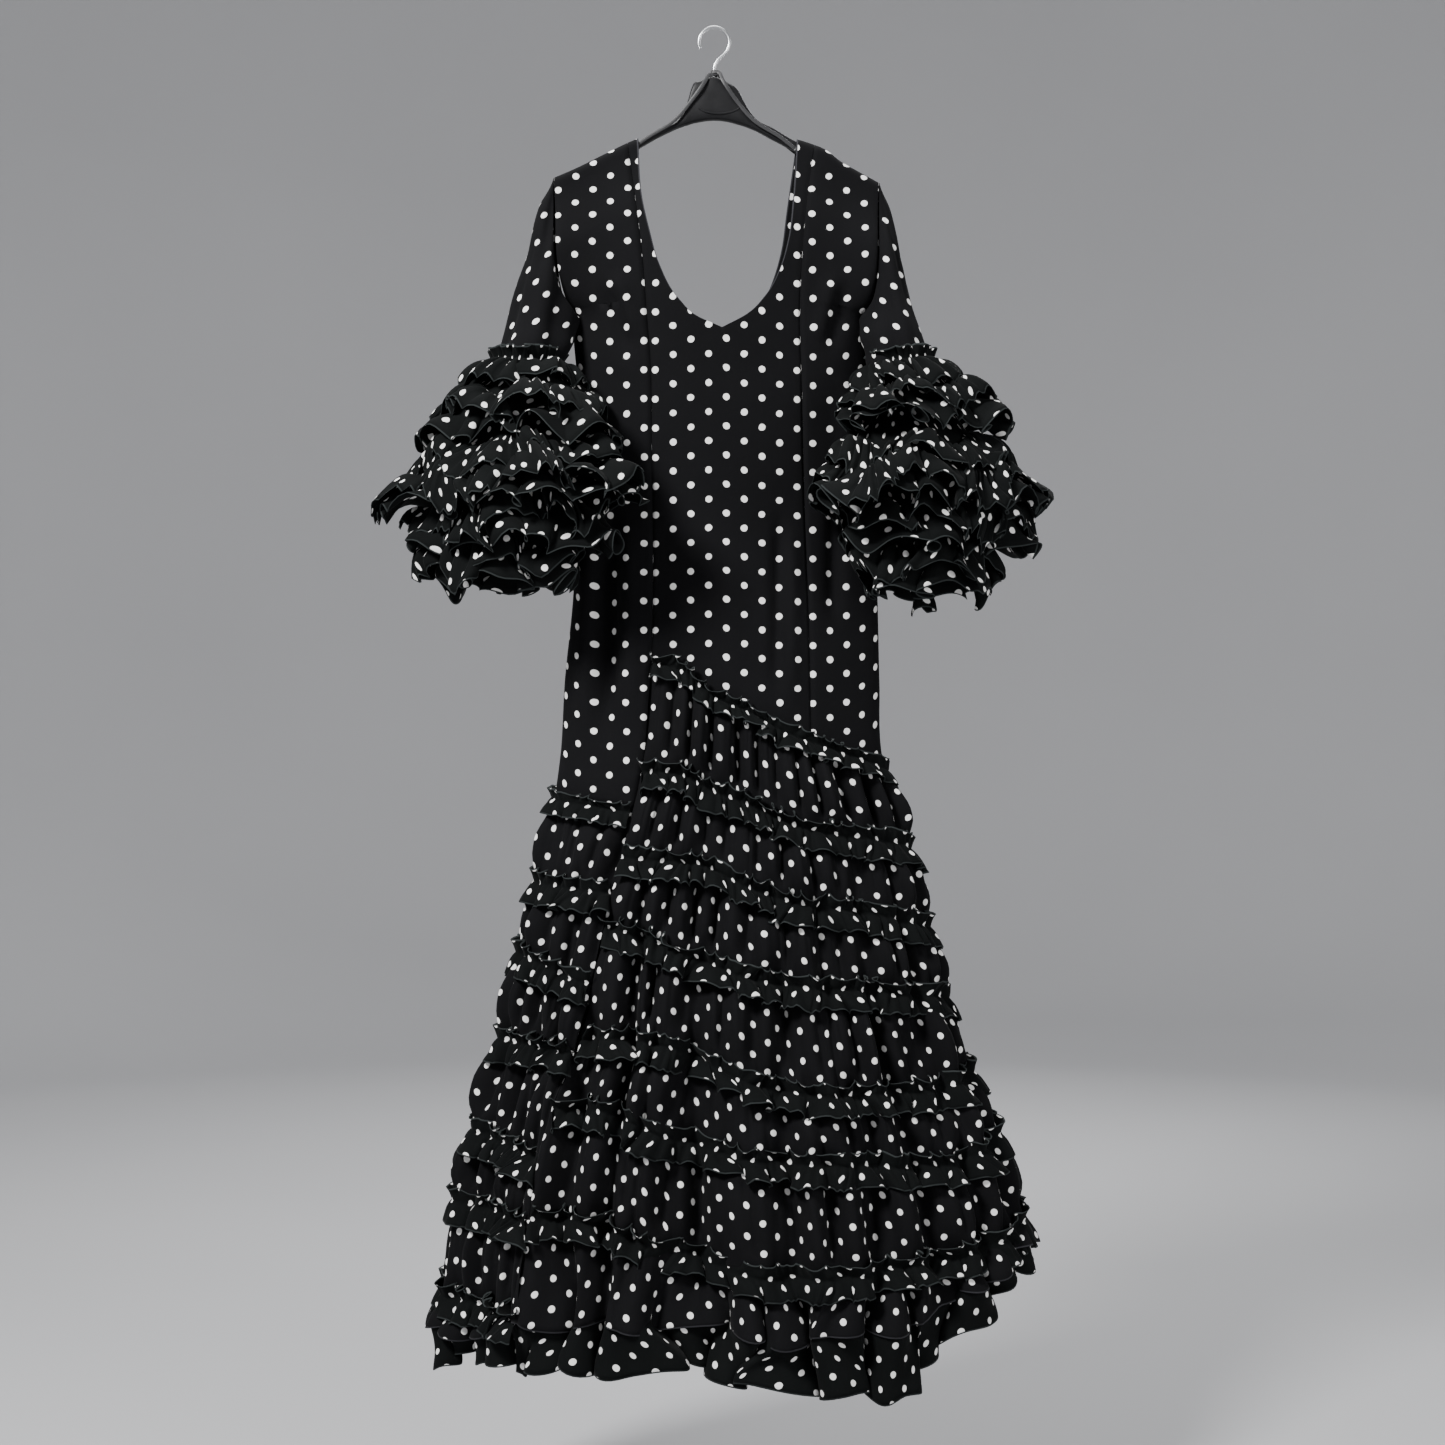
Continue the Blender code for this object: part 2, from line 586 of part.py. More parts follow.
def build_hem(angle, part):
    top = seam_drop("seam_6", angle) + EDGE_GAP
    foot = seam_drop("edge", angle)
    drop = top + part * (foot - top)
    true = trimmed(angle + 0.0 * drop, drop, 0.09)
    out = last_out(angle, drop - top)
    cloth_piece("skirt_tier_7", skirt_points(true, drop, out), False, BLACK_CLOTH)

    start = top + 0.45 * (foot - top)
    hem = seam_drop("hem", angle)
    drop = start + part * (hem - start)
    true = trimmed(angle + 0.0 * drop, drop, 0.09)
    above = last_out(angle, start - top)
    out = above - CLOTH - SEAM_GAP - 0.0010 + part * (0.004 + 0.003 * tier_wave(angle, 7))
    out[1] -= 0.004
    cloth_piece("skirt_tier_8", skirt_points(true, drop, out), False, BLACK_FRILL)


def build_frills():
    names = SEAM_COLUMNS.split()[1:8]
    angle = wrap_angles()
    for number, name in enumerate(names):
        middle = seam_drop(name, angle)
        drop = np.stack([middle - FRILL_UP, middle, middle + FRILL_DOWN])
        turn = np.radians(angle - START_ANGLE)
        wave = FRILL_WAVE * np.cos(FRILL_WAVES * turn + 1.3 * number + 0.7 * np.sin(3 * turn))
        sewn = CLOTH + SEAM_GAP + (0.0013 if number == 0 else 0.0003)
        lower = FRILL_STAND[1] + (0.003 if number == 6 else 0.0)
        out = np.stack([FRILL_STAND[0] + wave, 0.0 * wave + sewn, lower - wave])
        true = trimmed(np.broadcast_to(angle, drop.shape).copy(), np.stack([middle] * 3), 0.5)
        cloth_piece(f"frill_{number + 1}", skirt_points(true, drop, out), False, BLACK_FRILL)


def ring(side, row, turn):
    """One level ring: turn 0 is its outer end, 90 the front, 180 the inner end, 270 the back."""
    drop, middle, forward, reach, depth, swing = row
    a = np.radians(turn)
    s = math.radians(swing)
    away = reach * np.cos(a) * math.cos(s) + depth * np.sin(a) * math.sin(s)
    y = reach * np.cos(a) * math.sin(s) - depth * np.sin(a) * math.cos(s) - forward
    return np.stack([side * (middle + away), y, np.full(a.shape, -drop)], axis=-1)


def armhole_ring(side):
    levels = armhole_levels(side)
    front = np.stack([side * side_x(levels, side), levels], axis=-1)
    back = front[1:-1][::-1]
    ring_x = np.concatenate([front[:, 0], back[:, 0]])
    drop = np.concatenate([front[:, 1], back[:, 1]])
    near = cloth_y(front[:, 0], front[:, 1], "front")
    far = cloth_y(back[:, 0], back[:, 1], "back")
    y = np.concatenate([near, far])
    y[0] = 0.0
    y[len(levels) - 1] = 0.0
    gap = SLEEVE_GAP[0] + ease(armhole_part(drop, side)) * (SLEEVE_GAP[1] - SLEEVE_GAP[0])
    return np.stack([ring_x + side * gap, y, -drop], axis=-1)


def build_sleeves():
    turn = np.arange(RING_POINTS) * 360.0 / RING_POINTS
    for side, name in ((-1, "left"), (1, "right")):
        top = armhole_ring(side)
        rings = [ring(side, row, turn) for row in SLEEVE_RINGS[side]]
        rows = [top + (rings[0] - top) * part for part in (0.0, 0.12, 0.35, 0.65)] + rings
        cloth_piece("sleeve_" + name, np.array(rows), True, BLACK_CLOTH)
        build_ruffles(side, name, turn, rings)


def build_ruffles(side, name, turn, rings):
    for number, row in enumerate(SLEEVE_RUFFLES[side]):
        values = dict(zip(RUFFLE_COLUMNS.split(), row))
        sewn = rings[values["ring"]].copy()
        middle = sewn.mean(axis=0)
        outward = sewn - middle
        outward = outward / np.linalg.norm(outward, axis=-1, keepdims=True)
        sewn = sewn + outward * (CLOTH + SEAM_GAP + 0.0006)
        edge_row = tuple(values[key] for key in ("drop", "middle", "forward", "reach", "depth", "turn"))
        edge = ring(side, edge_row, turn)
        centre = edge.mean(axis=0)
        away = edge - centre
        away = away / np.linalg.norm(away, axis=-1, keepdims=True)
        a = np.radians(turn)
        wave = values["wave"] * np.cos(RUFFLE_WAVES * a + 1.1 * number + 0.6 * np.sin(a))
        rows = []
        for part in (0.0, 0.5, 1.0):
            points = sewn + (edge - sewn) * part + away * (wave * part)[:, None]
            points[:, 2] += 0.5 * part * wave
            rows.append(points)
        cloth_piece(f"sleeve_frill_{name}_{number + 1}", np.array(rows), True, BLACK_FRILL)


def build_hanger():
    """Arms and cap as one moulding, lofted through rounded cuts across its length."""
    values = columns(HANGER_COLUMNS, HANGER)
    turn = np.linspace(0.0, 2 * math.pi, HANGER_SIDES, endpoint=False) + math.pi / HANGER_SIDES
    points = []
    for x, top, bottom, depth in zip(*values.values()):
        round_y = depth * np.sign(np.cos(turn)) * np.abs(np.cos(turn)) ** 0.6
        round_z = 0.5 * (bottom - top) * np.sign(np.sin(turn)) * np.abs(np.sin(turn)) ** 0.6
        points.append(np.stack([np.full(turn.shape, x), round_y, round_z - 0.5 * (top + bottom)], axis=-1))
    points = np.array(points)
    rows = len(points)
    index = np.arange(rows * HANGER_SIDES).reshape(rows, HANGER_SIDES)
    faces = [tuple(reversed(face)) for face in quads(index, True)]
    faces.append(tuple(int(i) for i in index[0][::-1]))
    faces.append(tuple(int(i) for i in index[-1]))
    mesh = bpy.data.meshes.new("hanger_body")
    mesh.from_pydata([tuple(map(float, p)) for p in points.reshape(-1, 3)], [], faces)
    mesh.shade_smooth()
    mesh.set_sharp_from_angle(angle=math.radians(50))
    link("hanger_body", mesh, BLACK_PLASTIC, 0.35)


def wire(name, points, radius, colour, roughness, metallic=0.0):
    curve = bpy.data.curves.new(name, "CURVE")
    curve.dimensions = "3D"
    curve.bevel_depth = radius
    curve.bevel_resolution = 1
    curve.use_fill_caps = True
    spline = curve.splines.new("POLY")
    spline.points.add(len(points) - 1)
    for point, place in zip(spline.points, points):
        point.co = (*place, 1.0)
    link(name, curve, colour, roughness, metallic)


def build_hook():
    """A wire that rises from the cap, bends aside and goes over in most of a circle."""
    middle = WIRE_RADIUS - HOOK_RADIUS
    path = [(0.0, 0.0, -HOOK_FOOT), (0.0, 0.0, -0.0500), (0.0006, 0.0, -0.0440), (0.0040, 0.0, -0.0375)]
    for degrees in range(-48, 205, 14):
        a = math.radians(degrees)
        path.append((HOOK_RADIUS * math.cos(a), 0.0, middle + HOOK_RADIUS * math.sin(a)))
    wire("hanger_hook", path, WIRE_RADIUS, STEEL, 0.3, 1.0)


def build_loops():
    """Two hanging tapes, each from inside a shoulder, round the foot of the hook and back."""
    right_rise = 0.0026
    for side, name, rise in ((-1, "left", 0.0), (1, "right", right_rise)):
        near = [
            (0.0965, 0.0080, 0.1430 if side < 0 else 0.1445),
            (0.0800, 0.0086, 0.1315),
            (0.0450, 0.0098, 0.1090),
            (0.0300, 0.0102, 0.0920),
            (0.0100, 0.0102, 0.0640 - rise * 0.5),
            (0.0050, 0.0052, 0.0548 - rise),
        ]
        front = [(side * x, -y, -drop) for x, y, drop in near]
        back = [(side * x, y, -drop) for x, y, drop in reversed(near)]
        turn = [(-side * 0.0022, -0.0036, -0.0540 + rise), (-side * 0.0042, 0.0, -0.0538 + rise),
                (-side * 0.0022, 0.0036, -0.0540 + rise)]
        wire("hanging_loop_" + name, front + turn + back, TAPE_RADIUS, BLACK_CLOTH, 0.8)


for old in list(bpy.data.objects):
    bpy.data.objects.remove(old, do_unlink=True)
collection = bpy.data.collections.new("flamenco_dress")
bpy.context.scene.collection.children.link(collection)
build_bodice()
build_sleeves()
build_tiers()
build_frills()
build_hanger()
build_hook()
build_loops()
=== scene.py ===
"""Looks of a dotted flamenco dress on its hanger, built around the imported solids.

X runs across the dress, the front faces -Y and Z is up. The origin is the inside top of the
hanger's hook, so a drop is a distance below it. Angles run round the body in degrees: 0 is the
centre front, 90 the side at +X, 180 the centre back and 270 the side at -X. Sizes are in metres.
"left" in a name is the -X side. Every cloth piece is a thin shell on its solid's form, with the
gathers, folds and waved edges added to it.
"""
import math

import bpy
import numpy as np
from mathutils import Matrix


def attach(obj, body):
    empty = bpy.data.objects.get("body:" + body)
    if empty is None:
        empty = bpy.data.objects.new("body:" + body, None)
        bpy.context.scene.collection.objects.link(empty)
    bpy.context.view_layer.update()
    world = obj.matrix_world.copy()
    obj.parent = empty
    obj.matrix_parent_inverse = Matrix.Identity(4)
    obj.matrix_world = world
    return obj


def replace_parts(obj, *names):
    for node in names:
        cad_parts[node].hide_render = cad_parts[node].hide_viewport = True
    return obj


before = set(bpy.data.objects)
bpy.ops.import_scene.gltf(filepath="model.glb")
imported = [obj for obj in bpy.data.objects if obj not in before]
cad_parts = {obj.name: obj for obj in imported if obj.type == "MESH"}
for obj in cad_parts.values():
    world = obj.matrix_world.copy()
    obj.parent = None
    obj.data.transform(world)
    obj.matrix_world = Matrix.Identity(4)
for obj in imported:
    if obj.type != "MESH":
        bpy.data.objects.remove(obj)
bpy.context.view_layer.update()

CLOTH = 0.0012
SHELL = 0.0006
SEAM_GAP = 0.0003
EDGE_GAP = 0.0006

# Bodice and skirt, as cuts at one drop: half widths to each side and depths to front and back.
SECTION_COLUMNS = "drop left right front back"
SECTIONS = (
    (0.130, 0.178, 0.182, 0.026, 0.024),
    (0.200, 0.180, 0.184, 0.036, 0.032),
    (0.270, 0.175, 0.184, 0.045, 0.038),
    (0.340, 0.169, 0.181, 0.050, 0.042),
    (0.430, 0.161, 0.181, 0.050, 0.044),
    (0.550, 0.163, 0.187, 0.046, 0.042),
    (0.670, 0.166, 0.193, 0.052, 0.046),
    (0.770, 0.176, 0.196, 0.058, 0.052),
    (0.860, 0.182, 0.199, 0.064, 0.058),
    (0.950, 0.197, 0.226, 0.076, 0.068),
    (1.030, 0.217, 0.246, 0.090, 0.080),
    (1.120, 0.238, 0.268, 0.106, 0.092),
    (1.220, 0.258, 0.298, 0.122, 0.104),
    (1.300, 0.282, 0.330, 0.136, 0.114),
    (1.380, 0.304, 0.354, 0.149, 0.122),
    (1.450, 0.313, 0.372, 0.158, 0.128),
    (1.570, 0.326, 0.382, 0.168, 0.135),
)

# Armholes: the free edge's drop and distance from the middle, and its half depth at mid height.
ARMHOLE_COLUMNS = "drop left right"
ARMHOLE = (
    (0.000, 0.1876, 0.1935),
    (0.200, 0.1872, 0.1928),
    (0.500, 0.1860, 0.1915),
    (0.750, 0.1820, 0.1890),
    (0.920, 0.1745, 0.1845),
    (1.000, 0.1690, 0.1810),
)
SHOULDER_TIP = {-1: 0.176, 1: 0.182}
UNDERARM = {-1: 0.337, 1: 0.340}
ARMHOLE_DEPTH = {"front": 0.034, "back": 0.031}
ARMHOLE_STEPS = 48
SLEEVE_GAP = (0.0009, 0.0012)
# The sleeve's inner edge leans over the body's side: how far in, how far forward, from how
# far above the underarm and down what length.
UNDERARM_PULL = {-1: (0.0135, 0.016, 0.060, 0.142), 1: (0.0130, 0.014, 0.050, 0.185)}

# Shoulder line over the hanger, from side to side.
SHOULDER_COLUMNS = "x drop"
SHOULDER = (
    (-0.1876, 0.1760),
    (-0.1600, 0.1640),
    (-0.1300, 0.1490),
    (-0.0894, 0.1300),
    (0.0976, 0.1310),
    (0.1150, 0.1365),
    (0.1310, 0.1430),
    (0.1490, 0.1570),
    (0.1700, 0.1690),
    (0.1935, 0.1820),
)
SHOULDER_ROUND = 0.012
SHOULDER_BLEND = 0.10

# Seams and neck edges of the bodice: distance across at each drop.
FRONT_SEAM_LEFT = ((0.130, -0.1025), (0.209, -0.0915), (0.269, -0.0838), (0.341, -0.0780),
                   (0.400, -0.0735), (0.500, -0.0722), (0.677, -0.0705), (0.749, -0.0716))
FRONT_SEAM_RIGHT = ((0.130, 0.1195), (0.209, 0.1085), (0.282, 0.1023), (0.340, 0.1000),
                    (0.421, 0.1022), (0.575, 0.1058), (0.700, 0.1102), (0.850, 0.1135))
BACK_SEAM_LEFT = ((0.130, -0.1060), (0.250, -0.0980), (0.350, -0.0880), (0.550, -0.0720),
                  (0.670, -0.0750), (0.900, -0.0880))
BACK_SEAM_RIGHT = ((0.130, 0.1150), (0.250, 0.1050), (0.350, 0.0950), (0.550, 0.0800),
                   (0.670, 0.0830), (0.900, 0.0950))
FRONT_NECK_LEFT = ((0.130, -0.0894), (0.209, -0.0830), (0.246, -0.0746), (0.288, -0.0625),
                   (0.329, -0.0392), (0.350, -0.0160), (0.361, 0.0094))
FRONT_NECK_RIGHT = ((0.131, 0.0976), (0.209, 0.0922), (0.258, 0.0861), (0.294, 0.0755),
                    (0.324, 0.0592), (0.347, 0.0360), (0.361, 0.0094))
BACK_NECK_LEFT = ((0.130, -0.0894), (0.209, -0.0865), (0.260, -0.0775), (0.300, -0.0655),
                  (0.340, -0.0430), (0.362, -0.0210), (0.372, 0.0030))
BACK_NECK_RIGHT = ((0.131, 0.0976), (0.209, 0.0865), (0.260, 0.0790), (0.300, 0.0660),
                   (0.340, 0.0440), (0.362, 0.0240), (0.372, 0.0030))
FRONT_MIDDLE = 0.0094
BACK_MIDDLE = 0.0030

# Creases of the bodice: where each starts and ends, how wide it is and how far it stands out.
# Columns: x_top drop_top x_foot drop_foot width height.
FRONT_CREASES = (
    (-0.118, 0.290, -0.084, 0.378, 0.0070, 0.0035),
    (-0.128, 0.300, -0.096, 0.400, 0.0070, -0.0030),
    (0.143, 0.290, 0.119, 0.384, 0.0070, 0.0035),
    (0.153, 0.300, 0.131, 0.395, 0.0070, -0.0030),
    (-0.123, 0.560, -0.128, 0.860, 0.0110, -0.0100),
    (-0.143, 0.540, -0.150, 0.860, 0.0090, 0.0040),
    (-0.098, 0.560, -0.100, 0.840, 0.0090, 0.0045),
    (0.077, 0.560, 0.073, 0.800, 0.0060, -0.0045),
    (0.090, 0.580, 0.090, 0.820, 0.0070, 0.0030),
    (0.143, 0.540, 0.139, 0.720, 0.0070, -0.0050),
    (0.155, 0.400, 0.160, 0.620, 0.0080, 0.0035),
    (0.020, 0.600, 0.024, 0.780, 0.0120, 0.0015),
    (-0.030, 0.560, -0.034, 0.740, 0.0140, 0.0015),
)
BACK_CREASES = (
    (-0.120, 0.280, -0.092, 0.380, 0.0070, 0.0030),
    (0.130, 0.290, 0.108, 0.385, 0.0070, 0.0030),
    (-0.110, 0.540, -0.124, 0.860, 0.0110, -0.0080),
    (0.110, 0.520, 0.124, 0.860, 0.0110, -0.0080),
    (-0.045, 0.520, -0.052, 0.840, 0.0100, 0.0035),
    (0.050, 0.560, 0.048, 0.850, 0.0110, -0.0040),
    (0.020, 0.480, 0.022, 0.700, 0.0090, 0.0020),
)

# Spiral seams of the skirt: each wraps once round, from the line at the front left and back to it
# one tier lower. seam_0 ends the bodice, seam_6 carries the last tier and hem is the free edge.
SEAM_COLUMNS = "angle seam_0 seam_1 seam_2 seam_3 seam_4 seam_5 seam_6 edge hem"
SEAMS = (
    (-35, 0.749, 0.876, 0.974, 1.052, 1.180, 1.255, 1.377, 1.491, 1.548),
    (-20, 0.760, 0.878, 0.978, 1.064, 1.178, 1.259, 1.380, 1.493, 1.540),
    (-5, 0.790, 0.897, 0.982, 1.086, 1.193, 1.290, 1.412, 1.495, 1.542),
    (10, 0.808, 0.915, 1.009, 1.110, 1.226, 1.309, 1.435, 1.501, 1.554),
    (25, 0.831, 0.937, 1.027, 1.121, 1.240, 1.315, 1.435, 1.503, 1.570),
    (40, 0.846, 0.948, 1.035, 1.125, 1.241, 1.323, 1.429, 1.487, 1.556),
    (55, 0.858, 0.954, 1.044, 1.131, 1.241, 1.324, 1.424, 1.462, 1.500),
    (70, 0.868, 0.959, 1.053, 1.136, 1.235, 1.312, 1.412, 1.440, 1.462),
    (90, 0.876, 0.969, 1.060, 1.144, 1.226, 1.295, 1.396, 1.426, 1.445),
    (135, 0.888, 0.983, 1.069, 1.158, 1.246, 1.317, 1.423, 1.462, 1.490),
    (180, 0.893, 0.988, 1.073, 1.167, 1.262, 1.335, 1.441, 1.488, 1.524),
    (225, 0.899, 0.995, 1.078, 1.179, 1.278, 1.356, 1.465, 1.512, 1.550),
    (270, 0.906, 1.004, 1.087, 1.189, 1.293, 1.376, 1.486, 1.530, 1.566),
    (300, 0.913, 1.009, 1.098, 1.191, 1.304, 1.381, 1.489, 1.525, 1.555),
    (325, 0.922, 1.015, 1.117, 1.194, 1.316, 1.385, 1.490, 1.518, 1.543),
)
START_ANGLE = -35.0
LINE_COLUMNS = "drop angle"
START_LINE = (
    (0.749, -24.3),
    (0.880, -27.2),
    (0.965, -31.5),
    (1.050, -35.0),
    (1.180, -38.2),
    (1.255, -41.6),
    (1.380, -41.6),
    (1.550, -42.8),
)
LINE_REACH = 70.0
TIERS = 8
TIER_WAVES = 9
TIER_WAVE = 0.007
TIER_FULLNESS = 0.005
HEM_WAVE = 0.010
LAST_HEIGHT = 0.100

# Hanging folds of the skirt: where each stands, how wide it is and how far it stands at the hem.
FOLD_COLUMNS = "angle width height"
FOLDS = (
    (-62, 7, -0.026),
    (-40, 7, 0.012),
    (-5, 7, -0.034),
    (16, 10, 0.014),
    (48, 9, -0.012),
    (84, 12, 0.006),
    (122, 10, -0.016),
    (150, 12, 0.012),
    (178, 9, -0.018),
    (205, 12, 0.012),
    (236, 9, -0.016),
    (262, 12, 0.006),
)
FOLD_TOP = 0.930
FOLD_FULL = 1.480

# Narrow valleys between the skirt's hanging folds, round the front and the back.
VALLEY_COLUMNS = "angle width depth"
VALLEYS = (
    (-76, 2.4, 0.012),
    (-48, 2.0, 0.012),
    (-35, 2.2, 0.012),
    (-23, 2.0, 0.016),
    (-3, 2.3, 0.024),
    (15, 2.0, 0.026),
    (31, 2.0, 0.016),
    (43, 1.9, 0.018),
    (60, 2.2, 0.013),
    (78, 2.4, 0.011),
    (104, 2.3, 0.015),
    (131, 2.0, 0.018),
    (152, 2.2, 0.014),
    (171, 2.2, 0.022),
    (190, 2.0, 0.014),
    (214, 2.4, 0.020),
    (243, 2.1, 0.016),
    (268, 2.3, 0.012),
)

# Finer folds that run down through the tiers, and the gathers of each tier.
RUNNING_FOLDS = 31
RUNNING_DEPTH = 0.020
RUNNING_TOP = 0.880
RUNNING_FULL = 1.250
MEAN_DROP = 1.200
GATHER_PITCH = (0.029, 0.050)
GATHER_HEIGHT = 0.0140
PUCKER_PITCH = 0.013
PUCKER_HEIGHT = 0.0024
PUCKER_REACH = 0.060
TIER_COLUMNS = 700
TIER_ROWS = 12
HEM_ROWS = 15

# Frills on the spiral seams: sewn along the middle, both edges free.
FRILL_UP = 0.018
FRILL_DOWN = 0.027
FRILL_COLUMNS = 640
FRILL_ROWS = 6
FRILL_PITCH = (0.025, 0.037)
# The first frill's share of the others' width, and how far their puckers stand.
FIRST_FRILL = 0.74
FRILL_PUCKER = 0.0026
GATHER_LINE = 0.012
LIES_OFF = 0.0012
TUCKED = 0.045

# Tilts of a flounce from the cloth it lies on, in a valley and on a crest, at the line of
# stitches and at the free edge.
DOWN_TILT = ((0.0, 84.0), (0.0, 26.0))
UP_TILT = ((4.0, 44.0), (4.0, 88.0))
SHORT_TILT = ((4.0, 78.0), (-8.0, -6.0))
OVERHANG = 0.25
LEAN = 0.25

# Sleeves: level rings from the elbow down. Reach and depth are half axes, turn swings the outer
# end to the back so that the frills pass in front of the hip.
# Columns: drop middle forward reach depth turn.
SLEEVE_RINGS = {
    -1: (
        (0.405, 0.2185, 0.030, 0.0360, 0.048, 0),
        (0.456, 0.2240, 0.045, 0.0420, 0.043, 12),
        (0.503, 0.2290, 0.057, 0.0500, 0.041, 24),
        (0.556, 0.2340, 0.066, 0.0600, 0.040, 32),
    ),
    1: (
        (0.405, 0.2210, 0.030, 0.0310, 0.048, 0),
        (0.456, 0.2310, 0.046, 0.0380, 0.043, 12),
        (0.503, 0.2400, 0.058, 0.0460, 0.041, 24),
        (0.556, 0.2480, 0.066, 0.0540, 0.040, 32),
    ),
}
# Sleeve frills: the sleeve ring each is sewn to and its lower edge.
RUFFLE_COLUMNS = "ring drop middle forward reach depth turn wave"
SLEEVE_RUFFLES = {
    -1: (
        (0, 0.492, 0.2247, 0.064, 0.130, 0.074, 32, 0.006),
        (1, 0.572, 0.2350, 0.080, 0.170, 0.084, 32, 0.008),
        (2, 0.620, 0.2280, 0.074, 0.132, 0.074, 32, 0.007),
        (3, 0.664, 0.2370, 0.068, 0.080, 0.054, 32, 0.005),
    ),
    1: (
        (0, 0.480, 0.2520, 0.060, 0.103, 0.076, 32, 0.005),
        (1, 0.570, 0.2560, 0.078, 0.150, 0.084, 32, 0.008),
        (2, 0.620, 0.2600, 0.074, 0.114, 0.074, 32, 0.007),
        (3, 0.670, 0.2520, 0.068, 0.074, 0.054, 32, 0.005),
    ),
}
RUFFLE_WAVES = 5
RUFFLE_SWAY = 0.011
RUFFLE_FREE = 0.050
RUFFLE_POINTS = 264
RUFFLE_ROWS = 12
SHORT_PLACES = ((0.0, 0.42), (0.40, 0.64), (0.50,), (0.45,))
SHORT_LENGTH = 0.050
SHORT_ROWS = 9
SHORT_PITCH = 0.056
PUFF = (0.0065, 0.006)
PUFF_WAVES = (62.0, 47.0, 71.0)
BODY_CLEAR = 0.005

# Hanger: cuts across its arms, from one tip to the other, and the wire of its hook.
HANGER_COLUMNS = "x top bottom depth"
HANGER = (
    (-0.1680, 0.1712, 0.1790, 0.0036),
    (-0.1600, 0.1675, 0.1775, 0.0050),
    (-0.1300, 0.1525, 0.1635, 0.0052),
    (-0.0890, 0.1332, 0.1415, 0.0054),
    (-0.0600, 0.1160, 0.1255, 0.0056),
    (-0.0390, 0.1045, 0.1160, 0.0062),
    (-0.0310, 0.0860, 0.1135, 0.0070),
    (-0.0265, 0.0700, 0.1120, 0.0072),
    (-0.0150, 0.0620, 0.1095, 0.0078),
    (0.0000, 0.0575, 0.1080, 0.0080),
    (0.0160, 0.0640, 0.1095, 0.0078),
    (0.0290, 0.0740, 0.1130, 0.0072),
    (0.0360, 0.0880, 0.1150, 0.0070),
    (0.0450, 0.1020, 0.1185, 0.0060),
    (0.0700, 0.1180, 0.1315, 0.0056),
    (0.0970, 0.1338, 0.1455, 0.0054),
    (0.1310, 0.1465, 0.1580, 0.0052),
    (0.1500, 0.1610, 0.1710, 0.0050),
    (0.1700, 0.1725, 0.1810, 0.0036),
)
WIRE_RADIUS = 0.0019
HOOK_RADIUS = 0.0180
HOOK_FOOT = 0.0571

HANGER_CUTS = 121
HANGER_SIDES = 28
TAPE_WIDE = 0.0022
TAPE_THICK = 0.0004

# Grids of the cloth pieces and their small relief.
PANEL_COLUMNS = 24
LOWER_STEPS = 56
LINE_PART = 0.72
UPPER_ARM_ROWS = 40
FOREARM_ROWS = 14
SEAM_DIP = 0.0012
CAP_ROUND = 0.0040
CREASE_PART = 1.8
SEAM_DIP_WIDTH = 0.0035
PANEL_RIPPLE = 0.0009
FAR_FROM_EDGE = 0.1
FULL_PART = 0.8
# The hem: pitch and sway of its flutes, how much more the under frill sways, how far it is set back
# and hangs past the tier above, how its level dips, and how a wrap's ends calm down and lap.
HEM_PITCH = 0.052
HEM_SWAY = 0.014
UNDER_SWAY = 1.2
UNDER_SET = 0.011
UNDER_OVERHANG = 0.36
LEVEL_DIP = 0.25
END_CALM = 0.16
END_LAP = (1.2, 0.0022)
HEM_DIP = 0.007
HEAD_ROWS = 5
HEAD_HEIGHT = 0.016

# Dots: two staggered lattices with the same step.
DOT_STEP = (0.0412, 0.0336)
FIRST_DOT = (0.0145, 0.0151)
DOT_RADIUS = 0.0039
DOT_SOFT = 0.0003
DOT_WOBBLE = 0.0022
DOT_WOBBLE_SCALE = 55.0
DOT_COLOUR = ((0.78, 0.77, 0.75, 1.0), (0.86, 0.85, 0.83, 1.0))

CAMERA_AT = (0.010, -2.600, -0.8185)
FRAME_WIDTH = 1.705
SENSOR = 0.036
FLOOR_DROP = 1.760


def columns(names, rows):
    """The rows of a table as one array for each named column."""
    return dict(zip(names.split(), np.array(rows, dtype=float).T))


def smooth(at, known, values):
    """A smooth curve through known values, level beyond both ends."""
    at = np.clip(np.asarray(at, dtype=float), known[0], known[-1])
    slopes = np.gradient(values, known)
    i = np.clip(np.searchsorted(known, at, side="right") - 1, 0, len(known) - 2)
    width = known[i + 1] - known[i]
    t = (at - known[i]) / width
    return (values[i] * (1 + 2 * t) * (1 - t) ** 2
            + slopes[i] * width * t * (1 - t) ** 2
            + values[i + 1] * t * t * (3 - 2 * t)
            - slopes[i + 1] * width * t * t * (1 - t))


def ease(t):
    t = np.clip(t, 0.0, 1.0)
    return t * t * (3.0 - 2.0 * t)


SECTION = columns(SECTION_COLUMNS, SECTIONS)
ARM = columns(ARMHOLE_COLUMNS, ARMHOLE)
SHOULDER_LINE = columns(SHOULDER_COLUMNS, SHOULDER)
SEAM = columns(SEAM_COLUMNS, SEAMS)
LINE = columns(LINE_COLUMNS, START_LINE)
FOLD = columns(FOLD_COLUMNS, FOLDS)
VALLEY = columns(VALLEY_COLUMNS, VALLEYS)


def uneven_phase(turn, count, seed, spread=0.55):
    """Phase of a number of folds round one turn, uneven in width."""
    rng = np.random.default_rng(seed)
    phase = count * turn
    for k in range(2, max(4, count // 2)):
        phase = phase + rng.uniform(0.3, 1.0) * spread * np.sin(k * turn + rng.uniform(0.0, 2 * math.pi))
    return phase


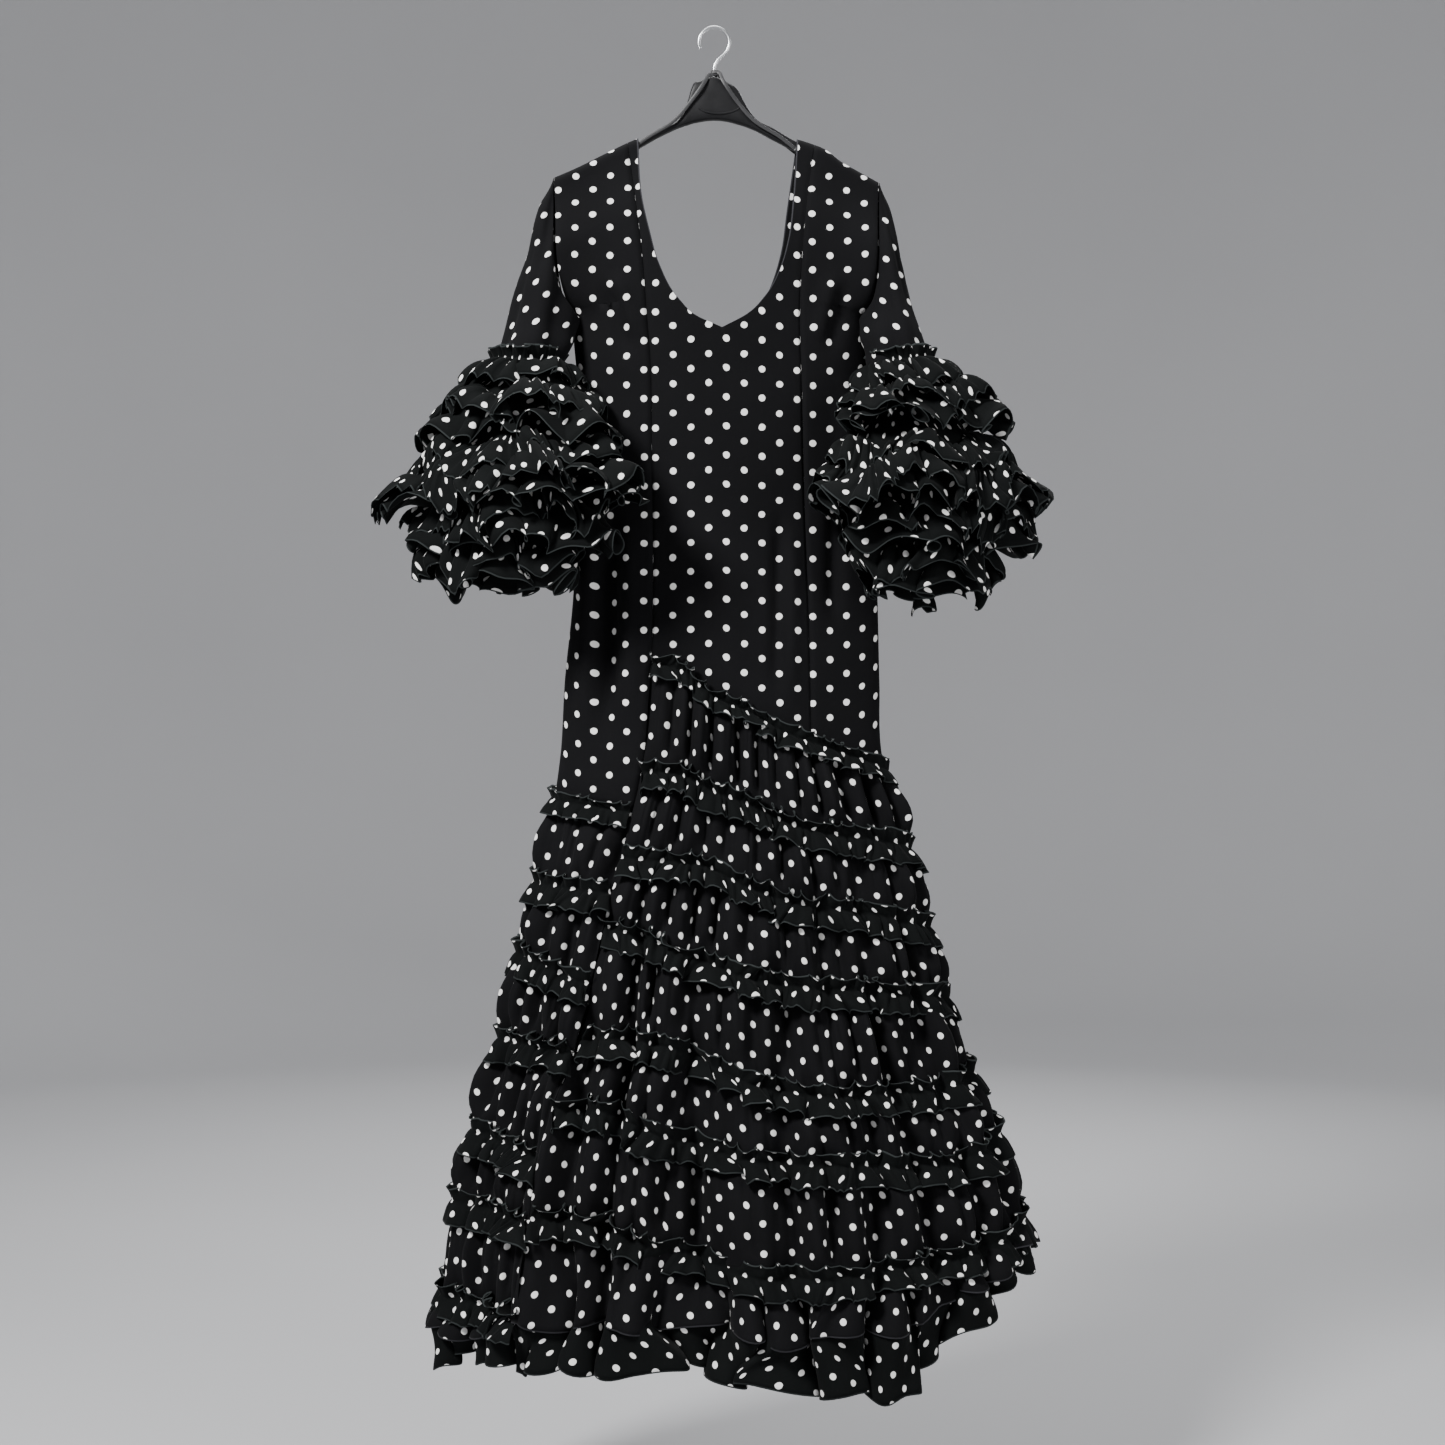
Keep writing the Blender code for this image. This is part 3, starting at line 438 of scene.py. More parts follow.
def uneven(turn, seed, low, high):
    """A slow change round one turn, between two values."""
    rng = np.random.default_rng(seed)
    value = 0.0 * turn
    for k in range(1, 8):
        value = value + np.sin(k * turn + rng.uniform(0.0, 2 * math.pi)) / 2.6
    return low + (high - low) * (0.5 + 0.5 * np.clip(value, -1.0, 1.0))


def petal(phase):
    """Broad crests with narrow valleys between them, from -1 to 1."""
    return 2.0 * (np.sin(0.5 * phase) ** 2 + 0.015) ** 0.38 - 1.0


def section(drop, name):
    return smooth(drop, SECTION["drop"], SECTION[name])


def curve_x(drop, rows):
    known, values = np.array(rows, dtype=float).T
    return smooth(drop, known, values)


def shoulder_drop(x):
    return smooth(x, SHOULDER_LINE["x"], SHOULDER_LINE["drop"])


def armhole_part(drop, side):
    """How far down the armhole a drop is, 0 at the shoulder tip and 1 at the underarm."""
    return (drop - SHOULDER_TIP[side]) / (UNDERARM[side] - SHOULDER_TIP[side])


def side_x(drop, side):
    """The cloth's outer edge: the armhole down to the underarm, then the side seam."""
    name = "left" if side < 0 else "right"
    part = armhole_part(drop, side)
    return np.where(part < 1.0, smooth(part, ARM["drop"], ARM[name]), section(drop, name))


def armhole_depth(drop, side, face):
    """Depth of the armhole's free edge, none at the shoulder tip and from the underarm down."""
    part = np.clip(armhole_part(drop, side), 0.0, 1.0)
    return ARMHOLE_DEPTH[face] * np.sqrt(np.clip(1.0 - (2.0 * part - 1.0) ** 2, 0.0, 1.0))


def around():
    """Angles round the mean cut of the skirt, and the part of its girth reached at each."""
    angle = START_ANGLE + np.linspace(0.0, 360.0, 1441)
    a = np.radians(0.5 * (angle[1:] + angle[:-1]))
    wide = np.where(np.sin(a) < 0.0, section(MEAN_DROP, "left"), section(MEAN_DROP, "right"))
    deep = np.where(np.cos(a) > 0.0, section(MEAN_DROP, "front"), section(MEAN_DROP, "back"))
    step = np.hypot(wide * np.cos(a), deep * np.sin(a))
    part = np.append(0.0, np.cumsum(step))
    return angle, part / part[-1]


ROUND_ANGLE, ROUND_PART = around()


def girth_part(angle):
    """Part of the girth at an angle, from the start line round to it again."""
    return np.interp((angle - START_ANGLE) % 360.0 + START_ANGLE, ROUND_ANGLE, ROUND_PART)


def even_angles(count):
    """Angles of a wrap at even steps along the girth."""
    return np.interp(np.linspace(0.0, 1.0, count + 1), ROUND_PART, ROUND_ANGLE)


def girth(drop):
    """Length of the skirt's plain cut at a drop."""
    a = np.radians(np.arange(0.5, 360.0))
    wide = np.where(np.sin(a) < 0.0, section(drop, "left"), section(drop, "right"))
    deep = np.where(np.cos(a) > 0.0, section(drop, "front"), section(drop, "back"))
    return float(np.hypot(wide * np.cos(a), deep * np.sin(a)).sum() * math.radians(1.0))


def fold_out(angle, drop):
    """How far the hanging folds stand out of the skirt's own form."""
    grow = ease((drop - FOLD_TOP) / (FOLD_FULL - FOLD_TOP))
    out = np.zeros(np.broadcast(angle, drop).shape)
    for middle, width, height in zip(FOLD["angle"], FOLD["width"], FOLD["height"]):
        away = (np.asarray(angle) - middle + 180.0) % 360.0 - 180.0
        out = out + height * np.exp(-0.5 * (away / width) ** 2)
    turn = 2 * math.pi * girth_part(angle)
    wander = 0.7 * np.sin(9.0 * drop + 3 * turn) + 0.4 * np.sin(17.0 * drop - 5 * turn)
    fine = 0.5 * (petal(uneven_phase(turn, RUNNING_FOLDS, 11) + wander) - 0.6) * uneven(turn, 12, 0.2, 1.0)
    for middle, width, depth in zip(VALLEY["angle"], VALLEY["width"], VALLEY["depth"]):
        bend = 1.3 * np.sin(11.0 * drop + middle)
        away = (np.asarray(angle) - middle - bend + 180.0) % 360.0 - 180.0
        fine = fine - depth / RUNNING_DEPTH * np.exp(-0.5 * (away / width) ** 2)
    fine_grow = ease((drop - RUNNING_TOP) / (RUNNING_FULL - RUNNING_TOP))
    return grow * out + fine_grow * RUNNING_DEPTH * fine


def crease_out(x, drop, table):
    """How far the creases of the bodice stand out, soft at their sides and ends."""
    out = np.zeros(np.broadcast(x, drop).shape)
    for x_top, drop_top, x_foot, drop_foot, width, height in table:
        run = np.array([x_foot - x_top, drop_foot - drop_top])
        length = np.linalg.norm(run)
        along = ((x - x_top) * run[0] + (drop - drop_top) * run[1]) / length
        aside = ((x - x_top) * run[1] - (drop - drop_top) * run[0]) / length
        part = along / length
        fade = ease(part / 0.3) * ease((1.0 - part) / 0.3)
        out = out + CREASE_PART * height * fade * np.exp(-0.5 * (aside / width) ** 2)
    return out


def cloth_y(x, drop, face):
    """Depth of the bodice's front or back sheet, rounding over the hanger at the shoulder."""
    left = x < 0.0
    width = np.where(left, side_x(drop, -1), side_x(drop, 1))
    open_edge = np.where(left, armhole_depth(drop, -1, face), armhole_depth(drop, 1, face))
    sine = np.clip(np.abs(x) / width, 0.0, 1.0)
    hollow = section(drop, face) * np.sqrt(1.0 - sine ** 2) + open_edge * sine ** 6
    below = np.clip(drop - shoulder_drop(x), 0.0, None)
    bend = np.clip(below / SHOULDER_ROUND, 0.0, 1.0)
    top = EDGE_GAP / 2 + SHOULDER_ROUND * np.sqrt(1.0 - (1.0 - bend) ** 2)
    part = ease(below / SHOULDER_BLEND)
    depth = part * (hollow + EDGE_GAP / 2) + (1.0 - part) * top
    return -depth if face == "front" else depth


def skirt_points(angle, drop, out, slide=0.0):
    """Points of the skirt's form, moved out along the level normal of its section and aside."""
    a = np.radians(angle)
    wide = np.where(np.sin(a) < 0.0, section(drop, "left"), section(drop, "right"))
    deep = np.where(np.cos(a) > 0.0, section(drop, "front"), section(drop, "back"))
    normal = np.stack([np.sin(a) / wide, -np.cos(a) / deep], axis=-1)
    normal = normal / np.linalg.norm(normal, axis=-1, keepdims=True)
    tangent = np.stack([-normal[..., 1], normal[..., 0]], axis=-1)
    away = (out + fold_out(angle, drop))[..., None]
    level = np.stack([wide * np.sin(a), -deep * np.cos(a)], axis=-1) + normal * away
    level = level + tangent * np.broadcast_to(slide, away.shape[:-1])[..., None]
    return np.concatenate([level, -drop[..., None]], axis=-1)


def seam_drop(name, angle):
    return smooth(angle, SEAM["angle"], SEAM[name])


def true_angle(angle, drop):
    """Swings the ends of a wrap onto the line at the front left where it starts and ends."""
    near = np.clip(1.0 - np.abs((angle - START_ANGLE + 180.0) % 360.0 - 180.0) / LINE_REACH, 0, 1)
    return angle + ease(near) * (smooth(drop, LINE["drop"], LINE["angle"]) - START_ANGLE)


def line_x(drop):
    """The front left seam: the bodice's own down to the first wrap, then the start line."""
    bodice = curve_x(drop, FRONT_SEAM_LEFT)
    below = section(drop, "left") * np.sin(np.radians(smooth(drop, LINE["drop"], LINE["angle"])))
    return np.where(drop < LINE["drop"][0], bodice, below)


def arc(points, axis):
    """Length run along the rows or columns of a grid of points, from its first one."""
    step = np.linalg.norm(np.diff(points, axis=axis), axis=-1)
    start = np.zeros_like(np.take(step, [0], axis=axis))
    return np.concatenate([start, np.cumsum(step, axis=axis)], axis=axis)


def moved_out(points, amount, away_from):
    """Grid points moved along the surface normal, on the side away from a given middle line."""
    across = np.gradient(points, axis=1)
    down = np.gradient(points, axis=0)
    normal = np.cross(across, down)
    normal = normal / np.maximum(np.linalg.norm(normal, axis=-1, keepdims=True), 1e-9)
    facing = np.sign((normal * (points - away_from)).sum(axis=-1, keepdims=True).mean())
    return points + facing * normal * amount[..., None]


def grid_faces(rows, count, closed):
    """Corners of a grid's faces, as point numbers and as places in its table of cloth sizes."""
    wide = count if closed else count - 1
    r, c = np.meshgrid(np.arange(rows - 1), np.arange(wide), indexing="ij")
    corners = [(r, c), (r + 1, c), (r + 1, c + 1), (r, c + 1)]
    index = np.stack([a * count + b % count for a, b in corners], axis=-1).reshape(-1, 4)
    row = np.stack([a for a, _ in corners], axis=-1).reshape(-1, 4)
    col = np.stack([b for _, b in corners], axis=-1).reshape(-1, 4)
    return index, row, col


def cloth_object(name, points, faces, loop_uv, edge, finish):
    """A mesh of cloth with its flat sizes as a UV map and the distance to its free edges."""
    name = name + "_cloth"
    mesh = bpy.data.meshes.new(name)
    mesh.from_pydata(points.tolist(), [], faces.tolist())
    layer = mesh.uv_layers.new(name="flat_cloth")
    layer.data.foreach_set("uv", np.ascontiguousarray(loop_uv, dtype=np.float32).ravel())
    reach = mesh.attributes.new("edge", "FLOAT", "POINT")
    reach.data.foreach_set("value", np.ascontiguousarray(edge, dtype=np.float32).ravel())
    mesh.shade_smooth()
    mesh.materials.append(MATERIALS[finish])
    piece = bpy.data.objects.new(name, mesh)
    bpy.context.scene.collection.objects.link(piece)
    wall = piece.modifiers.new("Cloth", "SOLIDIFY")
    wall.thickness = SHELL
    wall.offset = 0.0
    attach(piece, "root")
    return piece


def cloth_grid(name, points, uv, edge, closed, finish):
    rows, count = points.shape[:2]
    faces, row, col = grid_faces(rows, count, closed)
    return cloth_object(name, points.reshape(-1, 3), faces, uv[row, col], edge.reshape(-1), finish)


def closed_rows(points):
    """Rows with their first point repeated at the end."""
    return np.concatenate([points, points[:, :1]], axis=1)


def declare(width, length):
    """Takes a piece's cut width and length, at least 0.01 each, and does nothing more with them."""
    width, length = max(width, 0.01), max(length, 0.01)


def armhole_levels(side):
    turn = np.linspace(0.0, math.pi, ARMHOLE_STEPS + 1)
    part = 0.5 * (1.0 - np.cos(turn))
    return SHOULDER_TIP[side] + part * (UNDERARM[side] - SHOULDER_TIP[side])


def spread(levels, top, bottom):
    """The armhole's levels carried over to another edge with its own top and bottom."""
    part = (levels - levels[0]) / (levels[-1] - levels[0])
    return top + part * (bottom - top)


def bodice_sheet(face, edges, drops, side, wrap):
    """Places across and drops of a bodice panel between two edges, each a curve and its levels.

    Columns are spaced by angle, so they close up towards the side seam. The last row follows
    the first spiral seam, and wrap is the turn added to its angles at the front left.
    """
    rows = len(drops[0])
    u = np.linspace(0.0, 1.0, PANEL_COLUMNS + 1)
    ends = [edges[0](drops[0]), edges[1](drops[1])]
    middle = 0.5 * (drops[0] + drops[1])
    width = side_x(middle, side)
    angles = [np.arcsin(np.clip(np.abs(end) / width, 0.0, 1.0)) for end in ends]
    x = np.zeros((rows, PANEL_COLUMNS + 1))
    for r in range(rows):
        spacing = np.sin(angles[0][r] + u * (angles[1][r] - angles[0][r]))
        part = (spacing - spacing[0]) / (spacing[-1] - spacing[0])
        x[r] = ends[0][r] + part * (ends[1][r] - ends[0][r])
    lerp = drops[0][:, None] * (1 - u) + drops[1][:, None] * u
    down = np.linspace(0.0, 1.0, rows)[:, None]
    top = shoulder_drop(x[0]) - (shoulder_drop(x[0, 0]) * (1 - u) + shoulder_drop(x[0, -1]) * u)
    foot = bottom_drop(x[-1], face, side, wrap)
    foot = foot - (foot[0] * (1 - u) + foot[-1] * u)
    return x, lerp + (1 - down) ** 3 * top + down ** 3 * foot


def bottom_drop(x, face, side, wrap):
    """Lower edge of the bodice, just above the first spiral seam."""
    name = "left" if side < 0 else "right"
    drop = np.full(x.shape, 0.83)
    swing = np.zeros(x.shape)
    for _ in range(12):
        angle = np.degrees(np.arcsin(np.clip(x / section(drop, name), -1.0, 1.0)))
        true = (angle if face == "front" else 180.0 - angle) + wrap
        swing = true_angle(true - swing, drop) - (true - swing)
        drop = seam_drop("seam_0", true - swing)
    return drop - EDGE_GAP


def panel_cloth(x, drop, face, grain, seams, neck_rows=0):
    """Points, flat cloth sizes and edge distances of one bodice panel.

    grain is the distance across of its straight grain, and seams says which of its two long
    edges are sewn. The last column is a free neck edge down to neck_rows.
    """
    points = np.stack([x, cloth_y(x, drop, face), -drop], axis=-1)
    level = arc(points[..., :2], 1)
    rows = np.arange(x.shape[0])
    rising = x[:, -1:] > x[:, :1]
    for_interp = np.where(rising, x, -x)
    target = np.where(rising[:, 0], grain, -grain)
    at_grain = np.array([np.interp(target[r], for_interp[r], level[r]) for r in rows])
    u = np.where(rising, level - at_grain[:, None], at_grain[:, None] - level)
    u = u + (np.array([np.clip(grain, *sorted(x[r, [0, -1]])) for r in rows]) - grain)[:, None]
    v = drop[:1] + arc(points[..., 1:], 0) - FIRST_DOT[1]
    from_first = level
    from_last = level[:, -1:] - level
    amount = crease_out(x, drop, FRONT_CREASES if face == "front" else BACK_CREASES)
    for sewn, away in zip(seams, (from_first, from_last)):
        if sewn:
            amount = amount - SEAM_DIP * np.exp(-(away / SEAM_DIP_WIDTH) ** 2)
    amount = amount + PANEL_RIPPLE * np.sin(23.0 * x + 9.0 * drop) * np.sin(11.0 * drop - 17.0 * x + 2.0)
    edge = np.full(x.shape, FAR_FROM_EDGE)
    edge[:neck_rows] = from_last[:neck_rows]
    amount = amount * ease((drop - shoulder_drop(x)) / 0.05)
    return moved_out(points, amount, np.array([0.0, 0.0, -0.5])), np.stack([u, v], axis=-1), edge


def build_panel(name, x, drop, face, grain, seams, neck_rows=0):
    points, uv, edge = panel_cloth(x, drop, face, grain, seams, neck_rows)
    piece = cloth_grid(name, points, uv, edge, False, "dotted_crepe")
    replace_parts(piece, name)
    declare(np.ptp(uv[..., 0]), np.ptp(uv[..., 1]))


def build_bodice():
    """Seven panels: a centre front, two centre backs and a side panel at each corner."""
    left = armhole_levels(-1)
    right = armhole_levels(1)
    lower = np.linspace(0.0, 1.0, LOWER_STEPS + 1)[1:]
    first = lower[lower <= LINE_PART] / LINE_PART
    last = (lower[lower > LINE_PART] - LINE_PART) / (1.0 - LINE_PART)

    side_end = float(seam_drop("seam_0", 270.0)) - EDGE_GAP
    side_left = np.concatenate([left, left[-1] + first * (0.770 - left[-1]),
                                0.770 + last * (side_end - 0.770)])
    side_low = seam_drop("seam_0", 90.0) - EDGE_GAP
    side_right = np.append(right, right[-1] + lower * (side_low - right[-1]))
    line_top = spread(left, float(shoulder_drop(-0.1025)), 0.325)
    line_end = 0.9195 - EDGE_GAP
    line_long = np.concatenate([line_top, 0.325 + first * (0.749 - 0.325), 0.749 + last * (line_end - 0.749)])
    line = np.append(line_top, 0.325 + lower * (0.749 - 0.325))
    seam_top = spread(right, float(shoulder_drop(0.1195)), 0.325)
    seam_end = float(bottom_drop(np.array([0.1133]), "front", 1, 0.0)[0])
    seam = np.append(seam_top, 0.325 + lower * (seam_end - 0.325))

    half = SEAM_GAP / 2
    wide = EDGE_GAP / 2
    x, drop = bodice_sheet(
        "front", (lambda d: -side_x(d, -1), lambda d: line_x(d) - wide), (side_left, line_long), -1, 360.0)
    build_panel("front_side_left", x, drop, "front", -0.121, (True, True))
    x, drop = bodice_sheet(
        "front", (lambda d: curve_x(d, FRONT_SEAM_RIGHT) + half, lambda d: side_x(d, 1)),
        (seam, side_right), 1, 0.0)
    build_panel("front_side_right", x, drop, "front", 0.135, (True, True))
    build_front_centre(left, right, line, seam)
    build_backs(left, right, side_left, side_right)


def split_half(face, outer, outer_drops, neck, neck_drops, middle, middle_drops, side, wrap):
    """Half a neck panel: its inner edge is the neck down to the middle, then the middle line."""
    turns = len(neck_drops)
    inner_drops = np.append(neck_drops, middle_drops)

    def inner(d):
        return np.where(np.arange(len(d)) < turns - 1, curve_x(d, neck), middle)

    return bodice_sheet(face, (outer, inner), (outer_drops, inner_drops), side, wrap)


def build_front_centre(left, right, line, seam):
    half = SEAM_GAP / 2
    neck = float(FRONT_NECK_LEFT[-1][0])
    levels = np.linspace(0.0, 1.0, LOWER_STEPS + 1)[1:]
    foot = float(bottom_drop(np.array([FRONT_MIDDLE]), "front", 1, 0.0)[0])
    middle = neck + levels * (foot - neck)
    halves = [
        split_half("front", lambda d: line_x(d) + half, line,
                   FRONT_NECK_LEFT, spread(left, FRONT_NECK_LEFT[0][0], neck),
                   FRONT_MIDDLE, middle, -1, 0.0),
        split_half("front", lambda d: curve_x(d, FRONT_SEAM_RIGHT) - half, seam,
                   FRONT_NECK_RIGHT, spread(right, FRONT_NECK_RIGHT[0][0], neck),
                   FRONT_MIDDLE, middle, 1, 0.0),
    ]
    made = [panel_cloth(x, drop, "front", FIRST_DOT[0], (True, False), ARMHOLE_STEPS + 1)
            for x, drop in halves]
    rows, count = halves[0][0].shape
    faces_left, _, _ = grid_faces(rows, count, False)
    index = np.arange(rows * count, 2 * rows * count).reshape(rows, count)
    index[ARMHOLE_STEPS:, -1] = np.arange(rows * count).reshape(rows, count)[ARMHOLE_STEPS:, -1]
    faces_right = index.reshape(-1)[grid_faces(rows, count, False)[0]][:, ::-1]
    points = np.concatenate([part[0].reshape(-1, 3) for part in made])
    uv = np.concatenate([part[1].reshape(-1, 2) for part in made])
    edge = np.concatenate([part[2].reshape(-1) for part in made])
    faces = np.concatenate([faces_left, faces_right])
    used, place = np.unique(faces, return_inverse=True)
    faces = place.reshape(faces.shape)
    piece = cloth_object("front_centre", points[used], faces, uv[used][faces], edge[used], "dotted_crepe")
    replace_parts(piece, "front_centre")
    declare(np.ptp(uv[:, 0]), np.ptp(uv[:, 1]))


def build_backs(left, right, side_left, side_right):
    half = SEAM_GAP / 2
    neck = float(BACK_NECK_LEFT[-1][0])
    lower = np.linspace(0.0, 1.0, LOWER_STEPS + 1)[1:]
    for side, arm, outer_side in ((-1, left, side_left), (1, right, side_right)):
        name = "left" if side < 0 else "right"
        rows = BACK_SEAM_LEFT if side < 0 else BACK_SEAM_RIGHT
        edge = BACK_NECK_LEFT if side < 0 else BACK_NECK_RIGHT
        top = spread(arm, float(shoulder_drop(rows[0][1])), 0.330)
        foot = float(bottom_drop(np.array([rows[-1][1]]), "back", side, 0.0)[0])
        seam = np.append(top, 0.330 + lower * (foot - 0.330))
        x, drop = bodice_sheet(
            "back", (lambda d, s=side: s * side_x(d, s),
                     lambda d, s=side, r=rows: curve_x(d, r) + s * half),
            (outer_side, seam), side, 0.0)
        build_panel("back_side_" + name, x, drop, "back", side * 0.125, (True, True))
        low = float(bottom_drop(np.array([BACK_MIDDLE]), "back", side, 0.0)[0])
        middle = neck + lower * (low - neck)
        x, drop = split_half(
            "back", lambda d, s=side, r=rows: curve_x(d, r) - s * half, seam,
            edge, spread(arm, edge[0][0], neck), BACK_MIDDLE + side * half, middle, side, 0.0)
        build_panel("back_centre_" + name, x, drop, "back", side * 0.03, (True, False), ARMHOLE_STEPS + 1)


def trimmed(angle, drop, gap, lap=0.0):
    """Angles of a wrap's points, with its ends kept off the start line, or one lapped over it."""
    true = true_angle(angle + 0.0 * drop, drop)
    true[..., 0] += gap - lap
    true[..., -1] -= gap
    return true


def tier_wave(angle, tier):
    turn = np.radians(angle - START_ANGLE)
    return np.cos(TIER_WAVES * turn + 1.9 * tier + 0.9 * np.sin(2 * turn + tier))


def tier_out(angle, part, tier):
    """Stand of a gathered tier: none at its seams, fullest halfway down."""
    return np.sin(math.pi * part) * (TIER_FULLNESS + TIER_WAVE * tier_wave(angle, tier))


def last_out(angle, below):
    """Stand of the last full tier at a distance below its seam. Its lower edge is free."""
    return np.clip(below / LAST_HEIGHT, 0.0, 1.0) * (0.012 + HEM_WAVE * tier_wave(angle, 7))


def gathers(angle, below, above, tier, length):
    """Stand of a tier's gathers: fine puckers under its seam that merge into broad folds.

    below is the distance under the tier's top seam and above the distance to its lower one.
    """
    turn = 2 * math.pi * girth_part(angle)
    pitch = GATHER_PITCH[0] + (GATHER_PITCH[1] - GATHER_PITCH[0]) * (tier - 1) / (TIERS - 2)
    count = round(length / pitch)
    wander = 7.0 * below * np.sin(5 * turn + tier) + 5.0 * below * np.sin(9 * turn + 2.3 * tier)
    main = (petal(uneven_phase(turn, count, 20 + tier) + wander) - 0.5) * uneven(turn, 40 + tier, 0.3, 1.1)
    main = main * ease(below / 0.026) * ease((above - 0.008) / 0.026)
    fine = petal(uneven_phase(turn, round(length / PUCKER_PITCH), 60 + tier) + wander)
    fine = fine * uneven(turn, 80 + tier, 0.4, 1.0) * ease(below / 0.006)
    fine = fine * np.exp(-(below / PUCKER_REACH) ** 2)
    return GATHER_HEIGHT * main + PUCKER_HEIGHT * fine


def tier_edges(tier, angle):
    """Top and lower edge of a tier. The last full tier's lower edge is free."""
    names = SEAM_COLUMNS.split()[1:]
    top = seam_drop(names[tier - 1], angle) + EDGE_GAP
    if tier == TIERS - 1:
        return top, seam_drop("edge", angle)
    return top, seam_drop(names[tier], angle) - EDGE_GAP


def tier_length(tier):
    """Length of a tier's own level line, from which its gathers are counted."""
    top, foot = tier_edges(tier, even_angles(TIER_COLUMNS))
    return girth(float(0.5 * (top.mean() + foot.mean())))


def tier_stand(tier, angle, drop):
    """Stand of a tier's cloth at any drop, its folds and gathers included."""
    top, foot = tier_edges(tier, angle)
    part = np.clip((drop - top) / (foot - top), 0.0, 1.0)
    below = part * (foot - top)
    if tier < TIERS - 1:
        stand = tier_out(angle, part, tier) * ease(below / TUCKED)
        return stand + gathers(angle, below, foot - top - below, tier, tier_length(tier))
    phase, _, size = hem_waves(angle, 101)
    flat = last_out(angle, below) + gathers(angle, below, 1.0, tier, tier_length(tier))
    return flat - HEM_SWAY * size * np.cos(phase) * ease(part)


def strip_uv(points, offset):
    """Flat sizes of a gathered strip: along it where it is least gathered, and down its columns."""
    step = np.quantile(np.linalg.norm(np.diff(points, axis=1), axis=-1), FULL_PART, axis=0)
    along = np.append(0.0, np.cumsum(step))
    return np.stack([along + 0.0 * points[..., 0] + offset, arc(points, 0)], axis=-1)


def build_tiers():
    angle = even_angles(TIER_COLUMNS)
    part = np.linspace(0.0, 1.0, TIER_ROWS + 1)[:, None]
    for tier in range(1, TIERS - 1):
        top, foot = tier_edges(tier, angle)
        drop = top + part * (foot - top)
        points = skirt_points(trimmed(angle, drop, 0.09), drop, tier_stand(tier, angle, drop))
        uv = strip_uv(points, 0.137 * tier)
        edge = np.full(drop.shape, FAR_FROM_EDGE)
        piece = cloth_grid(f"skirt_tier_{tier}", points, uv, edge, False, "dotted_crepe")
        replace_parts(piece, f"skirt_tier_{tier}")
        declare(np.ptp(uv[..., 0]), uv[-1, :, 1].max())
    build_hem(angle)


def hem_waves(angle, seed):
    """Phase, width and size of the waves of a free lower edge."""
    turn = 2 * math.pi * girth_part(angle)
    length = girth(1.45)
    phase = uneven_phase(turn, round(length / HEM_PITCH), seed)
    rate = np.maximum(np.abs(np.gradient(phase) / np.gradient(turn)), 1e-6)
    pitch = np.clip(length / rate, 0.6 * HEM_PITCH, 1.6 * HEM_PITCH)
    return phase, pitch, uneven(turn, seed + 1, 0.35, 1.1)


def build_hem(angle):
    """The last full tier, with a free waved edge, and the frill that shows under it."""
    part = np.linspace(0.0, 1.0, HEM_ROWS + 1)[:, None]
    top, foot = tier_edges(TIERS - 1, angle)
    turn = 2 * math.pi * girth_part(angle)
    calm = ease(np.minimum(turn, 2 * math.pi - turn) / END_CALM)
    lapped = np.append(END_LAP[1], np.zeros(len(angle) - 1))
    phase, pitch, size = hem_waves(angle, 101)
    foot = foot + HEM_DIP * np.sin(uneven_phase(turn, 13, 121))
    drop = top + part * (foot - top)
    grow = ease(part)
    lean = LEAN * np.sin(7 * turn + 1.0) * pitch
    aside = (-np.sin(phase) * OVERHANG * pitch * size + lean) * calm
    lower = drop - LEVEL_DIP * HEM_DIP * size * np.cos(phase) * grow ** 2
    points = skirt_points(trimmed(angle, drop, 0.09, END_LAP[0]), lower,
                          tier_stand(TIERS - 1, angle, drop) + lapped, aside * grow)
    make_hem("skirt_tier_7", points, 0.9, "dotted_crepe")

    start = top + 0.45 * (foot - top)
    hem = seam_drop("hem", angle) + HEM_DIP * np.sin(uneven_phase(turn, 17, 122))
    hem = hem + 0.5 * HEM_DIP * np.sin(uneven_phase(turn, 43, 123))
    under_phase, under_pitch, under_size = hem_waves(angle, 105)
    drop = start + part * (hem - start)
    past = ease((drop - foot + 0.016) / (hem - foot + 0.016))
    behind = tier_stand(TIERS - 1, angle, np.minimum(drop, foot)) - 0.0030
    own = last_out(angle, start - top) - UNDER_SET + 0.004 * part
    own = own - UNDER_SWAY * HEM_SWAY * under_size * np.cos(under_phase)
    out = behind + past * (own - behind)
    under_lean = LEAN * np.sin(9 * turn + 2.0) * under_pitch
    own_aside = (-np.sin(under_phase) * UNDER_OVERHANG * under_pitch * under_size + under_lean) * calm
    aside = past * own_aside + (1.0 - past) * aside * ease((drop - top) / (foot - top))
    lower = drop - LEVEL_DIP * HEM_DIP * under_size * np.cos(under_phase) * past ** 2
    points = skirt_points(trimmed(angle, drop, 0.09, END_LAP[0]), lower, out + lapped, aside)
    # The under frill takes the frills' darker cloth: painted shade beneath the tier above.
    make_hem("skirt_tier_8", points, 0.3, "dotted_frill")


def make_hem(node, points, offset, finish):
    uv = strip_uv(points, offset)
    run = arc(points, 0)
    piece = cloth_grid(node, points, uv, run[-1:] - run, False, finish)
    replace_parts(piece, node)
    declare(np.ptp(uv[..., 0]), uv[-1, :, 1].max())


